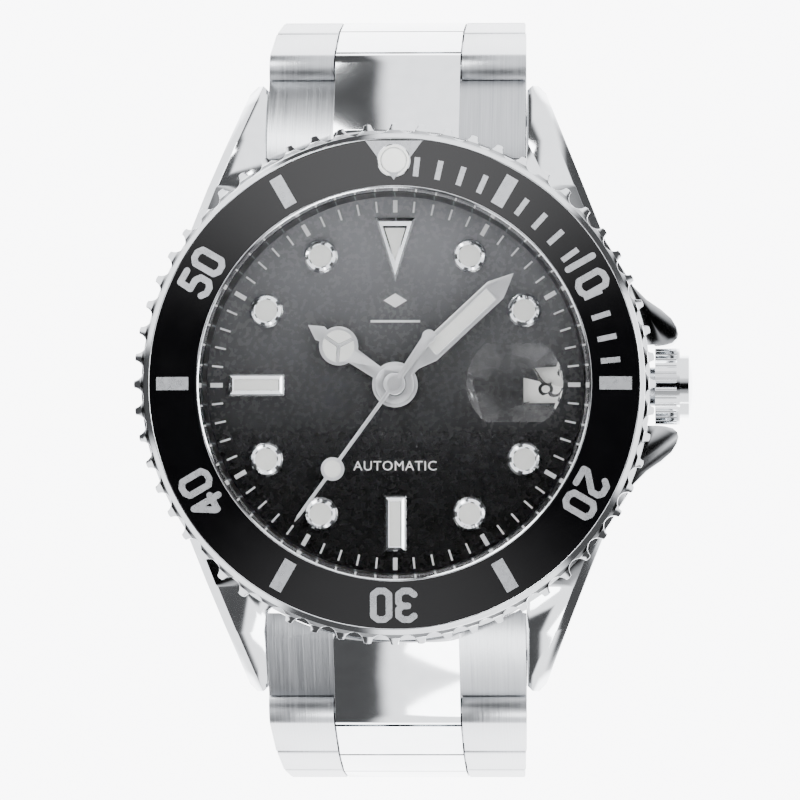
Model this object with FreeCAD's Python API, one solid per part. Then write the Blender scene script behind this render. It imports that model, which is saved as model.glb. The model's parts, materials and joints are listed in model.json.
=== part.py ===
# Automatic diver's wristwatch on a three-row steel bracelet, as an assembly of separate pieces.
# Millimetres. The dial faces -Y, 12 o'clock is +Z and the crown is on +X.
# The origin is the centre of the case back's outer face, which lies in the plane y = 0.
# "Height" below is the distance in front of that face, so a height h lies at y = -h.
import FreeCAD, Part
import math
import os

V = FreeCAD.Vector

# ---- clearances --------------------------------------------------------------------------
run = 0.05                    # radial, between a shaft and its bore
slide_gap = 0.15              # between faces that pass each other
link_gap = 0.15               # between neighbouring links
row_gap = 0.12                # groove between the rows of a link
tooth_gap = 0.05              # each gear stays this far inside its pitch circle

# ---- driving dimensions ------------------------------------------------------------------
case_radius = 19.6            # round middle case, without lugs and crown guards
case_low = 1.4                # height where the middle case starts
case_high = 8.4               # height of the shoulder under the bezel
case_bore = 14.35             # holds the movement holder
lug_gap = 20.1                # between a pair of lugs
lug_tip_z = 23.5              # half of the lug-to-lug length
lug_tip_x = 11.5              # outer edge of a lug at its tip
lug_root_x = 16.2             # outer edge of a lug where it leaves the round case
lug_root_z = 11.0
lug_bevel = 0.6
lug_corner = 0.6
lug_high = 8.25
bar_z = 20.7                  # lug spring bars
bar_height = 3.0
bar_radius = 0.75
bar_tip_radius = 0.5
bar_tip_length = 0.9

back_radius = 17.2            # screw-in case back
back_flange = 1.5
back_thread_radius = 15.6
back_thread_high = 3.0
back_glass_radius = 14.0
back_glass_thick = 1.1
back_window_radius = 13.0
back_ledge = 0.9               # metal above the window's glass
back_notches = 6

collar_radius = 16.4          # neck of the case that carries crystal and bezel
collar_high = 11.5
crystal_radius = 14.95
crystal_low = 10.7
crystal_high = 12.55
crystal_bevel = 0.25
collar_inner = 12.0           # solid core that the bores are cut from
lens_x = 9.25                 # date magnifier on the crystal
lens_radius = 3.7
lens_half_height = 3.0
lens_dome = 1.0
lens_sphere = 9.5

bezel_tip_radius = 20.0
bezel_valley_radius = 19.25
bezel_scallops = 60
bezel_low = 8.55
bezel_flute_low = 9.1         # the fluted band starts above a plain foot
bezel_flute_high = 11.35
crest_half_share = 0.13       # half of a crest, as a share of the pitch
crest_drop = 0.06             # its rounded shoulders lie this much lower
bezel_foot_step = 0.5
click_outer = 18.6            # ring spring under the bezel
click_inner = 16.9
click_low = 8.05
click_thick = 0.25
insert_outer = 18.75
insert_inner = 15.15
insert_high = 12.4            # at its inner edge
insert_drop = 0.5             # it slopes down towards the rim
insert_thick = 0.55
pearl_radius_from_centre = 17.05
pearl_setting_radius = 1.3
pearl_radius = 0.92
pearl_proud = 0.3

dial_radius = 14.8
dial_low = 8.1
dial_high = 8.5
dial_opening = 14.5           # inner edge of the chapter ring at the dial
chapter_outer = 14.85
window_x = 11.2               # date window
window_width = 2.9
window_height = 2.3
dial_hole = 1.6

marker_radius_from_centre = 11.45
marker_outer = 1.3
marker_inner = 0.85
marker_high = 0.5
baton_length = 4.3
baton_width = 1.7
baton_rim = 0.42
baton_centre = 10.68
triangle_top = 12.86
triangle_tip = 7.86
triangle_width = 3.1

hour_hand_low = 9.15
minute_hand_low = 9.75
second_hand_low = 10.3
hand_thick = 0.22
hour_hand_length = 8.1
hour_ring_centre = 5.25
hour_ring_radius = 1.5
minute_hand_length = 12.5
minute_hand_width = 1.75
second_hand_length = 13.1
second_disc_centre = 8.05
second_disc_radius = 0.9
second_tail = 5.0
hour_angle = 304.5            # clockwise from 12 o'clock
minute_angle = 47.0
second_angle = 216.0
seconds_arbor_radius = 0.25
centre_tube_bore = seconds_arbor_radius + run
centre_tube_radius = 0.55
centre_tube_high = 9.6
cannon_radius = 0.85
hour_tube_bore = cannon_radius + run
hour_tube_radius = 1.3
hour_hub_radius = 1.75
minute_hub_radius = 1.5
second_hub_radius = 0.85

crown_axis_height = 4.95
crown_radius = 2.95
crown_flutes = 30
crown_low_x = 19.95
crown_band_x = 21.85
crown_end_x = 22.85
crown_boss_radius = 2.42
crown_dome = 9.0              # radius of its slightly domed end
crown_edge = 0.3              # from the boss's side to the dome's top
flute_radius = 0.16
tube_radius = 1.5
tube_bore = 0.95
tube_start_x = 15.2
tube_end_x = 21.0
stem_radius = 0.6
stem_inner_x = 9.3
stem_room = 0.25              # radial, round the stem where it crosses other parts
sleeve_end_x = 20.6
pinion_x = 10.2               # winding pinion
pinion_length = 1.6
pinion_radius = 0.95
pinion_teeth = 12
guard_nose = ((18.3, 7.6), (19.3, 6.6), (20.4, 5.85), (21.2, 5.15), (21.6, 4.5), (21.75, 3.95),
              (21.65, 3.6), (21.3, 3.3), (20.7, 3.15))   # rounded outline of a crown guard
guard_depth = 5.6

movement_radius = 12.9
bridge_low = 3.25
bridge_high = 4.0
plate_low = 6.3
plate_high = 7.7
rotor_low = 1.55
rotor_high = 2.95
rotor_radius = 12.3
rotor_plate_low = 2.3
rotor_plate_high = 2.7
jewel_radius = 0.75
jewel_bore = 0.2
jewel_thick = 0.5
pivot_radius = jewel_bore - run
arbor_radius = 0.35
screw_radius = 0.35
screw_head_radius = 0.8
screw_head_thick = 0.35
screw_circle = 11.6
screw_angles = (20, 85, 118, 225, 262, 318)
plate_wall_inner = 10.7
train_distance = 5.4          # centre to third wheel and third to fourth pinion
third_ratio = 8.0
fourth_ratio = 7.5
escape_distance = 5.5
escape_ratio = 10.0
escape_radius = 2.2
barrel_distance = 6.6
barrel_ratio = 7.0
barrel_pitch_radius = barrel_distance * barrel_ratio / (barrel_ratio + 1)
motion_distance = 4.0
motion_wheel_radius = 3.2     # hour wheel, and the recess for the minute wheel
pallet_distance = 2.9
balance_place = (-8.4, 1.2)
balance_radius = 3.7
cock_width = 2.4
cock_foot_radius = 0.75
rotor_bore = 1.2

# ---- heights of the train ----------------------------------------------------------------
fourth_level = 4.15
drum_level = 4.5
third_level = 5.2
barrel_teeth_level = 5.5
escape_level = 5.55
third_pinion_level = 5.7
centre_level = 5.85
motion_level = 7.28
hour_level = 7.78
wheel_thick = 0.2

link_pitch = 8.0              # from pin to pin
link_half_thick = 1.5
link_centre_width = 9.7
bracelet_width = 20.0         # at the lugs
bracelet_taper = 0.42         # narrower by this much per link
pin_radius = 0.6
first_pivot_z = 24.6
first_pivot_height = 1.9
link_angles = (73.0, 80.0, 86.0, 92.0, 110.0, 134.0)   # worn loop, from straight out

clasp_wall = 1.0
clasp_width = 17.6
blade_thick = 0.8
blade_width = 9.0
blade_inner_half = 2.5        # half width of the short blade and of the slot it folds into
clasp_end_room = 3.6          # from the cover's hinge to the last pin of the 12 side
fold_reach = 5.2              # from the cover's pin to the hinge between the blades
fold_rise = 0.9
hinge_radius = 0.9
hinge_pin = 0.45
end_wall = 0.4                # metal left outside the ends of the clasp's pins
fork_ear = 1.4
button_radius = 1.0
button_z = -8.0
button_rise = 0.1             # above the cover's pin
button_proud = 0.5



# ---- shape helpers -----------------------------------------------------------------------
def disc(radius, low, high, x=0.0, z=0.0):
    """Solid disc about a line along Y, between two heights."""
    return Part.makeCylinder(radius, high - low, V(x, -low, z), V(0, -1, 0))


def ring(outer, inner, low, high, x=0.0, z=0.0):
    return disc(outer, low, high, x, z).cut(disc(inner, low, high, x, z))


def plate(points, low, high):
    """Flat plate: a closed outline of (x, z) points between two heights."""
    corners = [V(x, -low, z) for x, z in points]
    face = Part.Face(Part.makePolygon(corners + corners[:1]))
    return face.extrude(V(0, low - high, 0))


def turned(profile):
    """Solid of revolution about the watch axis from (radius, height) points."""
    corners = [V(radius, -height, 0) for radius, height in profile]
    face = Part.Face(Part.makePolygon(corners + corners[:1]))
    return face.revolve(V(0, 0, 0), V(0, 1, 0), 360)


def slab(profile, x_low, x_high):
    """Prism along X from (z, height) points."""
    corners = [V(x_low, -height, z) for z, height in profile]
    face = Part.Face(Part.makePolygon(corners + corners[:1]))
    return face.extrude(V(x_high - x_low, 0, 0))


def across(radius, x_low, x_high, z, height):
    """Cylinder along X."""
    return Part.makeCylinder(radius, x_high - x_low, V(x_low, -height, z), V(1, 0, 0))


def fuse(first, *others):
    return first.multiFuse(list(others)).removeSplitter()


def turn_about_y(shape, degrees_clockwise):
    """Copy turned clockwise as seen from the dial side, about the watch axis."""
    copy = shape.copy()
    copy.rotate(V(0, 0, 0), V(0, 1, 0), degrees_clockwise)
    return copy


def mirrored_z(shape):
    return shape.mirror(V(0, 0, 0), V(0, 0, 1))


def gear(radius, teeth, depth, low, high, x=0.0, z=0.0):
    """Toothed wheel whose teeth end just inside the pitch radius."""
    tip = radius - tooth_gap
    points = []
    for index in range(2 * teeth):
        reach = tip if index % 2 == 0 else tip - depth
        angle = math.pi * index / teeth
        points.append((x + reach * math.cos(angle), z + reach * math.sin(angle)))
    return plate(points, low, high)


def polar(distance, degrees):
    """Place in the dial plane, counter-clockwise from 3 o'clock."""
    return distance * math.cos(math.radians(degrees)), distance * math.sin(math.radians(degrees))


def save(name, *solids):
    shape = solids[0] if len(solids) == 1 else Part.makeCompound(list(solids))
    shape.exportStep("parts/" + name + ".step")
    print(name, len(shape.Solids), round(shape.Volume, 2), shape.isValid())


# ---- case --------------------------------------------------------------------------------
def trimmed(shape, point, normal):
    """Cut away everything beyond a plane, on the side that its normal points to."""
    block = Part.makeBox(80, 80, 40)
    block.translate(V(-40, -40, 0))
    block.Placement = FreeCAD.Placement(point, FreeCAD.Rotation(V(0, 0, 1), normal)).multiply(block.Placement)
    return shape.cut(block)


def outer_edge_x(z):
    """Outer edge of the lug's outline at a place along it."""
    share = (lug_tip_z - lug_corner - z) / (lug_tip_z - lug_corner - lug_root_z)
    return lug_tip_x + share * (lug_root_x - lug_tip_x)


def lug():
    """One lug, on the side of +X and +Z, bevelled along its outer edge."""
    inner = lug_gap / 2
    top = [(8.0, lug_high), (15.5, lug_high), (19.0, 6.6), (22.3, 4.1), (lug_tip_z, 2.9)]
    outline = plate([(inner, 8.0), (inner, lug_tip_z - 0.4), (inner + 0.4, lug_tip_z),
                     (lug_tip_x - lug_corner, lug_tip_z), (lug_tip_x, lug_tip_z - lug_corner),
                     (lug_root_x, lug_root_z), (12.0, 8.0)], 0.0, case_high)
    side = slab([(8.0, case_low), (15.0, case_low), (20.5, 0.5), (22.6, 0.35), (lug_tip_z, 1.1)] + top[::-1],
                0.0, 20.0)
    shape = outline.common(side)
    along_z = lug_tip_z - lug_corner - lug_root_z
    outward = V(along_z, 0, lug_root_x - lug_tip_x).normalize()
    for (z1, h1), (z2, h2) in zip(top, top[1:]):
        upward = V(0, z1 - z2, h1 - h2).normalize()
        edge = V(outer_edge_x(z2), -h2, z2)
        shape = trimmed(shape, edge - outward * lug_bevel, (upward + outward).normalize())
    return shape


def crown_guard():
    """Guard above the crown; the other is its mirror image."""
    inner_z = crown_radius + slide_gap
    outline = plate([(15.0, 9.5), (17.2, 9.4), *guard_nose, (20.2, inner_z), (15.0, inner_z)],
                    case_low, case_high)
    block = Part.makeBox(12.0, guard_depth, 20, V(12.0, -crown_axis_height - guard_depth / 2, 0))
    return outline.common(block)


def mid_case():
    body = turned([(collar_inner, case_low), (case_radius - 1.0, case_low), (case_radius, case_low + 0.9),
                   (case_radius, case_high - 0.35), (case_radius - 0.35, case_high),
                   (collar_radius, case_high), (collar_radius, collar_high), (collar_inner, collar_high)])
    upper = lug()
    lugs = [upper, upper.mirror(V(0, 0, 0), V(1, 0, 0))]
    lugs += [mirrored_z(each) for each in lugs]
    guard = crown_guard()
    body = body.multiFuse(lugs + [guard, mirrored_z(guard)]).removeSplitter()
    inside = turned([(0, -1.0), (back_thread_radius, -1.0), (back_thread_radius, back_thread_high),
                     (case_bore, back_thread_high), (case_bore, dial_low), (chapter_outer, dial_low),
                     (chapter_outer, crystal_low), (crystal_radius, crystal_low),
                     (crystal_radius, 13.0), (0, 13.0)])
    groove = ring(click_outer, click_inner, click_low, 9.0)
    flange = disc(back_radius + run, -1.0, back_flange)
    crown_room = across(crown_radius + slide_gap, crown_low_x - slide_gap, 24.0, 0, crown_axis_height)
    tube_hole = across(tube_radius, 12.0, 24.0, 0, crown_axis_height)
    shape = body.cut(inside).cut(groove).cut(flange).cut(crown_room).cut(tube_hole)
    reach = lug_gap / 2 + bar_tip_length
    for z in (bar_z, -bar_z):
        shape = shape.cut(across(bar_tip_radius, -reach, reach, z, bar_height))
    return shape


def click_spring():
    """Flat ring spring under the bezel, with three lifted tongues."""
    shape = ring(click_outer - run, click_inner + run, click_low, click_low + click_thick)
    tongue = plate([(17.3, -1.2), (18.2, -1.2), (18.2, 1.2), (17.3, 1.2)],
                   click_low + click_thick, case_high - 0.02)
    return fuse(shape, tongue, turn_about_y(tongue, 120), turn_about_y(tongue, 240))


def case_back():
    shape = turned([(back_window_radius, back_glass_thick), (back_glass_radius, back_glass_thick),
                    (back_glass_radius, 0), (back_radius - 0.4, 0), (back_radius, 0.4),
                    (back_radius, back_flange), (back_thread_radius - run, back_flange),
                    (back_thread_radius - run, back_thread_high), (case_bore + 0.3, back_thread_high),
                    (case_bore + 0.3, back_glass_thick + back_ledge),
                    (back_window_radius, back_glass_thick + back_ledge)])
    notch = Part.makeBox(2.2, 0.6, 1.4, V(back_radius - 2.2, -0.6, -0.7))
    for index in range(back_notches):
        shape = shape.cut(turn_about_y(notch, 30 + 360 / back_notches * index))
    gasket_groove = ring(back_radius - 0.5, back_thread_radius + 0.2, back_flange - 0.5, back_flange)
    return shape.cut(gasket_groove)


def case_back_gasket():
    return ring(back_radius - 0.55, back_thread_radius + 0.25, back_flange - 0.5, back_flange - 0.02)


def crystal():
    return turned([(0, crystal_low), (crystal_radius, crystal_low),
                   (crystal_radius, crystal_high - crystal_bevel),
                   (crystal_radius - crystal_bevel, crystal_high), (0, crystal_high)])


def date_magnifier():
    top = crystal_high + lens_dome
    ball = Part.makeSphere(lens_sphere, V(lens_x, -(top - lens_sphere), 0))
    cut = disc(lens_radius, crystal_high, top + 1, lens_x)
    flat = Part.makeBox(2 * lens_radius, 3, 2 * lens_half_height,
                        V(lens_x - lens_radius, -crystal_high - 3, -lens_half_height))
    return cut.common(flat).common(ball)


def chapter_ring():
    return turned([(dial_opening, dial_high), (chapter_outer - 0.02, dial_high),
                   (chapter_outer - 0.02, crystal_low), (chapter_outer - 0.1, crystal_low)])


# ---- bezel -------------------------------------------------------------------------------
def bezel():
    """Turning ring; its grip is a closed outline of round valleys between narrow crests."""
    step = 360.0 / bezel_scallops
    crest = crest_half_share * step
    shoulder = bezel_tip_radius - crest_drop
    edges = []
    for index in range(bezel_scallops):
        start = index * step - crest
        places = []
        for degrees, radius in ((start, shoulder), (start + crest, bezel_tip_radius),
                                (start + 2 * crest, shoulder),
                                (start + crest + step / 2, bezel_valley_radius),
                                (start + step, shoulder)):
            x, z = polar(radius, degrees)
            places.append(V(x, -bezel_flute_low, z))
        edges.append(Part.Arc(places[0], places[1], places[2]).toShape())
        edges.append(Part.Arc(places[2], places[3], places[4]).toShape())
    grip = Part.Face(Part.Wire(edges)).extrude(V(0, bezel_flute_low - bezel_flute_high, 0))
    tip = bezel_tip_radius
    mask = turned([(0, bezel_flute_low), (tip - 0.35, bezel_flute_low), (tip, bezel_flute_low + 0.35),
                   (tip, bezel_flute_high - 0.5), (tip - 0.5, bezel_flute_high), (0, bezel_flute_high)])
    rim_high = insert_high - insert_drop
    core = turned([(0, bezel_low), (bezel_valley_radius - bezel_foot_step, bezel_low),
                   (bezel_valley_radius - 0.05, bezel_flute_low),
                   (bezel_valley_radius - 0.05, bezel_flute_high),
                   (insert_outer + 0.1, rim_high + 0.02), (insert_outer, rim_high),
                   (insert_outer, rim_high - insert_thick), (insert_inner, insert_high - insert_thick),
                   (insert_inner, insert_high), (crystal_radius + 0.1, insert_high), (0, insert_high)])
    bore = turned([(0, 0), (collar_radius + run, 0), (collar_radius + run, collar_high + slide_gap / 2),
                   (crystal_radius + 0.1, collar_high + slide_gap / 2), (crystal_radius + 0.1, 14), (0, 14)])
    return grip.common(mask).fuse(core).cut(bore).removeSplitter()


def insert_height(radius):
    """Height of the sloping insert's face at a radius."""
    return insert_high - insert_drop * (radius - insert_inner) / (insert_outer - insert_inner)


def bezel_insert():
    rim_high = insert_high - insert_drop
    shape = turned([(insert_inner, insert_high - insert_thick), (insert_inner, insert_high),
                    (insert_outer, rim_high), (insert_outer, rim_high - insert_thick)])
    return shape.cut(disc(pearl_setting_radius, 0, 20, 0, pearl_radius_from_centre))


def bezel_pearl():
    """Luminous pearl and the metal ring it sits in, standing in the insert."""
    face = insert_height(pearl_radius_from_centre)
    floor = face - insert_thick + 0.25
    rim = ring(pearl_setting_radius, pearl_radius, floor, face + 0.12, 0, pearl_radius_from_centre)
    bead = disc(pearl_radius, floor, face + pearl_proud, 0, pearl_radius_from_centre)
    return rim, bead


# ---- dial and hands ----------------------------------------------------------------------
def dial():
    shape = disc(dial_radius, dial_low, dial_high).cut(disc(dial_hole, dial_low - 1, dial_high + 1))
    half = window_width / 2
    tall = window_height / 2
    window = plate([(window_x - half, -tall), (window_x + half, -tall), (window_x + half, tall),
                    (window_x - half, tall)], dial_low - 1, dial_high + 1)
    return shape.cut(window)


def framed(outline, inner):
    """Applied marker: a frame with its filling, standing on the dial."""
    frame = plate(outline, dial_high, dial_high + marker_high)
    frame = frame.cut(plate(inner, dial_high - 1, dial_high + 2))
    return frame, plate(inner, dial_high, dial_high + marker_high - 0.12)


def rectangle(x, z, width, height):
    return [(x - width / 2, z - height / 2), (x + width / 2, z - height / 2),
            (x + width / 2, z + height / 2), (x - width / 2, z + height / 2)]


def dial_markers():
    """Eight round markers, batons at 6 and 9 and a triangle at 12; the date is at 3."""
    frames = []
    fillings = []
    for hour in (1, 2, 4, 5, 7, 8, 10, 11):
        x, z = polar(marker_radius_from_centre, 90 - 30 * hour)
        frames.append(ring(marker_outer, marker_inner, dial_high, dial_high + marker_high, x, z))
        fillings.append(disc(marker_inner, dial_high, dial_high + marker_high - 0.12, x, z))
    long_in = baton_length - 2 * baton_rim
    wide_in = baton_width - 2 * baton_rim
    pairs = [framed(rectangle(0, -baton_centre, baton_width, baton_length),
                    rectangle(0, -baton_centre, wide_in, long_in)),
             framed(rectangle(-baton_centre, 0, baton_length, baton_width),
                    rectangle(-baton_centre, 0, long_in, wide_in))]
    half = triangle_width / 2
    tall = triangle_top - triangle_tip
    middle = triangle_top - tall / 3
    outline = [(-half, triangle_top), (half, triangle_top), (0, triangle_tip)]
    inner = [(0.52 * x, middle + 0.52 * (z - middle)) for x, z in outline]
    pairs.append(framed(outline, inner))
    for frame, filling in pairs:
        frames.append(frame)
        fillings.append(filling)
    return frames, fillings


def pointing(points, low):
    return plate(points, low, low + hand_thick)


def hour_hand():
    """Ring with three spokes near its tip, as on a diver's hour hand."""
    low = hour_hand_low
    high = low + hand_thick
    hub = disc(hour_hub_radius, low, high)
    arm = pointing([(-0.42, 0), (0.42, 0), (0.62, hour_ring_centre - 1.2),
                    (-0.62, hour_ring_centre - 1.2)], low)
    tip = pointing([(-0.5, hour_ring_centre + 1.3), (-0.62, hour_ring_centre + 1.75), (0, hour_hand_length),
                    (0.62, hour_ring_centre + 1.75), (0.5, hour_ring_centre + 1.3)], low)
    rim = ring(hour_ring_radius, hour_ring_radius - 0.28, low, high, 0, hour_ring_centre)
    spokes = []
    for degrees in (90, 210, 330):
        x, z = polar(hour_ring_radius - 0.1, degrees)
        side_x, side_z = polar(0.1, degrees + 90)
        spokes.append(pointing([(side_x, hour_ring_centre + side_z), (-side_x, hour_ring_centre - side_z),
                                (x - side_x, hour_ring_centre + z - side_z),
                                (x + side_x, hour_ring_centre + z + side_z)], low))
    shape = fuse(hub, arm, tip, rim, *spokes).cut(disc(hour_tube_radius, low - 1, high + 1))
    return turn_about_y(shape, hour_angle)


def minute_hand():
    low = minute_hand_low
    high = low + hand_thick
    half = minute_hand_width / 2
    blade = pointing([(-0.4, 0), (0.4, 0), (0.4, 2.2), (half, 3.6), (half, minute_hand_length - 1.9),
                      (0, minute_hand_length), (-half, minute_hand_length - 1.9), (-half, 3.6),
                      (-0.4, 2.2)], low)
    slot = plate(rectangle(0, 7.0, minute_hand_width - 0.7, 6.2), low - 1, high + 1)
    shape = fuse(disc(minute_hub_radius, low, high), blade).cut(slot)
    return turn_about_y(shape.cut(disc(cannon_radius, low - 1, high + 1)), minute_angle)


def second_hand():
    low = second_hand_low
    high = low + hand_thick
    needle = pointing([(-0.16, -second_tail), (0.16, -second_tail), (0.12, second_hand_length - 0.6),
                       (0, second_hand_length), (-0.12, second_hand_length - 0.6)], low)
    tail = pointing([(-0.2, 0), (-0.42, -second_tail + 0.6), (0.42, -second_tail + 0.6), (0.2, 0)], low)
    shape = fuse(disc(second_hub_radius, low, high), needle, tail,
                 disc(second_disc_radius, low, high, 0, second_disc_centre),
                 disc(0.53, low, high, 0, -second_tail + 0.5))
    return turn_about_y(shape.cut(disc(seconds_arbor_radius, low - 1, high + 1)), second_angle)


# ---- crown and winding -------------------------------------------------------------------
def crown():
    """Fluted cap on the winding stem, hollow inside so that it clears the case tube."""
    body = across(crown_radius, crown_low_x, crown_band_x, 0, crown_axis_height)
    boss = across(crown_boss_radius, crown_band_x, crown_end_x - crown_edge, 0, crown_axis_height)
    dome = Part.makeSphere(crown_dome, V(crown_end_x - crown_dome, -crown_axis_height, 0))
    cap = across(crown_boss_radius, crown_end_x - crown_edge, crown_end_x + 0.1, 0, crown_axis_height)
    cap = cap.common(dome)
    shape = fuse(body, boss, cap)
    hollow = across(tube_radius + 0.2, crown_low_x - 1, crown_band_x - 0.35, 0, crown_axis_height)
    shape = shape.cut(hollow).cut(across(stem_radius, crown_low_x, crown_band_x + 0.4, 0, crown_axis_height))
    flutes = []
    for index in range(crown_flutes):
        angle = 2 * math.pi * index / crown_flutes
        height = crown_axis_height + (crown_radius + 0.05) * math.sin(angle)
        z = (crown_radius + 0.05) * math.cos(angle)
        flutes.append(across(flute_radius, crown_low_x - 0.1, crown_band_x - 0.25, z, height))
    return shape.cut(Part.makeCompound(flutes))


def crown_tube():
    tube = across(tube_radius, tube_start_x, tube_end_x, 0, crown_axis_height)
    return tube.cut(across(tube_bore, tube_start_x - 1, tube_end_x + 1, 0, crown_axis_height))


def winding_stem():
    thin = across(stem_radius, stem_inner_x, crown_band_x + 0.4, 0, crown_axis_height)
    sleeve = across(tube_bore - run, tube_start_x + 0.2, sleeve_end_x, 0, crown_axis_height)
    return fuse(thin, sleeve)


def winding_pinion():
    """Sliding sleeve with teeth that turns with the stem and stays while the stem is pulled."""
    points = []
    for index in range(2 * pinion_teeth):
        reach = pinion_radius if index % 2 == 0 else pinion_radius - 0.14
        angle = math.pi * index / pinion_teeth
        points.append(V(pinion_x, -crown_axis_height - reach * math.sin(angle), reach * math.cos(angle)))
    body = Part.Face(Part.makePolygon(points + points[:1])).extrude(V(pinion_length, 0, 0))
    return body.cut(across(stem_radius + run, 10, 12, 0, crown_axis_height))


# ---- movement ----------------------------------------------------------------------------
third_place = polar(train_distance, 210)
escape_place = polar(escape_distance, 138)
barrel_place = polar(barrel_distance, 48)
pallet_step = polar(pallet_distance, 150)
pallet_place = (escape_place[0] + pallet_step[0], escape_place[1] + pallet_step[1])
minute_wheel_place = polar(motion_distance, -70)
screw_places = [polar(screw_circle, angle) for angle in screw_angles]
cock_screw_place = polar(11.2, 200)
pivot_places = [third_place, escape_place, barrel_place]


def arbor(place, low, high):
    """Arbor between the bridge and the main plate, with thin ends that run in the jewels."""
    x, z = place
    body = disc(arbor_radius, low + 0.08, high - 0.08, x, z)
    return body.fuse(disc(pivot_radius, low - 0.35, high + 0.35, x, z))


def main_plate():
    shape = disc(movement_radius, plate_low, plate_high)
    x, z = minute_wheel_place
    recess = motion_level - 0.08
    cuts = [disc(1.3, recess, 9), disc(motion_wheel_radius, recess, 9, x, z),
            disc(centre_tube_radius + run, 0, 9)]
    cuts += [disc(jewel_radius, plate_low - 1, plate_low + jewel_thick, *place)
             for place in pivot_places + [pallet_place, balance_place]]
    cuts += [disc(screw_radius, plate_low - 1, plate_high - 0.5, *place) for place in screw_places]
    cuts += [disc(screw_radius, plate_low - 1, plate_high - 0.5, *cock_screw_place)]
    shape = shape.cut(Part.makeCompound(cuts))
    post = disc(0.3, 7.0, 8.0, x, z)
    wall = ring(movement_radius, plate_wall_inner, bridge_high, plate_low)
    room = [across(stem_radius + stem_room, 8, 16, 0, crown_axis_height),
            across(pinion_radius + 0.2, 9, 12.0, 0, crown_axis_height),
            disc(balance_radius + 0.3, bridge_high - 1, plate_low, *balance_place),
            disc(barrel_pitch_radius + 0.15, bridge_high - 1, plate_low, *barrel_place),
            disc(cock_foot_radius + run, bridge_high - 1, plate_low, *cock_screw_place)]
    room += [disc(screw_radius, bridge_high - 1, plate_high - 0.5, *place) for place in screw_places]
    shape = fuse(shape, post, wall)
    for each in room:
        shape = shape.cut(each)
    return shape


def cock_outline(extra):
    """Arm from its screw to the balance staff."""
    x1, z1 = balance_place
    x2, z2 = cock_screw_place
    length = math.hypot(x2 - x1, z2 - z1)
    half = cock_width / 2 + extra
    side_x = half * (z2 - z1) / length
    side_z = -half * (x2 - x1) / length
    arm = plate([(x1 + side_x, z1 + side_z), (x2 + side_x, z2 + side_z), (x2 - side_x, z2 - side_z),
                 (x1 - side_x, z1 - side_z)], bridge_low, bridge_high)
    return fuse(arm, disc(half, bridge_low, bridge_high, x1, z1), disc(half, bridge_low, bridge_high, x2, z2))


def train_bridge():
    shape = disc(movement_radius, bridge_low, bridge_high)
    x, z = balance_place
    cuts = [disc(balance_radius + 0.4, 0, 9, x, z), cock_outline(0.15), disc(jewel_bore, 0, 9)]
    cuts += [disc(jewel_radius, bridge_low, bridge_low + jewel_thick, *place)
             for place in pivot_places + [pallet_place]]
    cuts += [disc(jewel_bore + 0.3, 0, 9, *place) for place in pivot_places + [pallet_place]]
    cuts += [disc(screw_radius, 0, 9, *place) for place in screw_places]
    cuts += [disc(screw_head_radius, bridge_low - 1, bridge_low + screw_head_thick, *place)
             for place in screw_places]
    shape = shape.cut(Part.makeCompound(cuts))
    bearing = disc(rotor_bore, rotor_low, bridge_low + 0.2)
    return fuse(shape, bearing).cut(disc(jewel_bore, bridge_low + 0.3, 9))


def balance_cock():
    shape = cock_outline(0.0).common(disc(movement_radius - 0.02, 0, 9))
    x, z = balance_place
    cuts = [disc(jewel_radius, bridge_low, bridge_low + jewel_thick, x, z),
            disc(jewel_bore + 0.3, 0, 9, x, z)]
    sx, sz = cock_screw_place
    cuts += [disc(screw_radius, 0, 9, sx, sz),
             disc(screw_head_radius, bridge_low - 1, bridge_low + screw_head_thick, sx, sz)]
    foot = disc(cock_foot_radius, bridge_high, plate_low, sx, sz)
    return fuse(shape, foot).cut(Part.makeCompound(cuts))


def jewels():
    stones = []
    for place in pivot_places + [pallet_place, balance_place]:
        stones.append(ring(jewel_radius, jewel_bore, bridge_low, bridge_low + jewel_thick, *place))
        stones.append(ring(jewel_radius, jewel_bore, plate_low, plate_low + jewel_thick, *place))
    return stones


def movement_screws():
    screws = []
    for place in screw_places + [cock_screw_place]:
        x, z = place
        head = disc(screw_head_radius, bridge_low, bridge_low + screw_head_thick, x, z)
        slot = Part.makeBox(2 * screw_head_radius, 0.18, 0.2,
                            V(x - screw_head_radius, -bridge_low - 0.18, z - 0.1))
        screws.append(fuse(head, disc(screw_radius, bridge_low + 0.3, plate_high - 0.5, x, z)).cut(slot))
    return screws


def movement_holder():
    shape = ring(case_bore - run, movement_radius, bridge_low + 0.2, dial_low)
    return shape.cut(across(stem_radius + stem_room, 8, 16, 0, crown_axis_height))


def barrel():
    x, z = barrel_place
    top = barrel_teeth_level + 0.25
    drum = disc(barrel_pitch_radius - 0.45, drum_level, top, x, z)
    teeth = gear(barrel_pitch_radius, 56, 0.35, barrel_teeth_level, top, x, z)
    return fuse(drum, teeth, arbor(barrel_place, bridge_high, plate_low))


def centre_wheel():
    """Centre wheel, its pinion and the tube that carries the cannon pinion."""
    pitch = train_distance * third_ratio / (third_ratio + 1)
    pinion = gear(barrel_distance / (barrel_ratio + 1), 10, 0.2, barrel_teeth_level, centre_level - 0.05)
    wheel = gear(pitch, 64, 0.3, centre_level, centre_level + wheel_thick)
    wheel = wheel.cut(ring(pitch - 1.0, 1.6, 5, 7).common(spoke_gaps(pitch - 1.0)))
    shape = fuse(wheel, pinion, disc(centre_tube_radius, barrel_teeth_level, centre_tube_high))
    return shape.cut(disc(centre_tube_bore, 5, 12))


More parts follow.
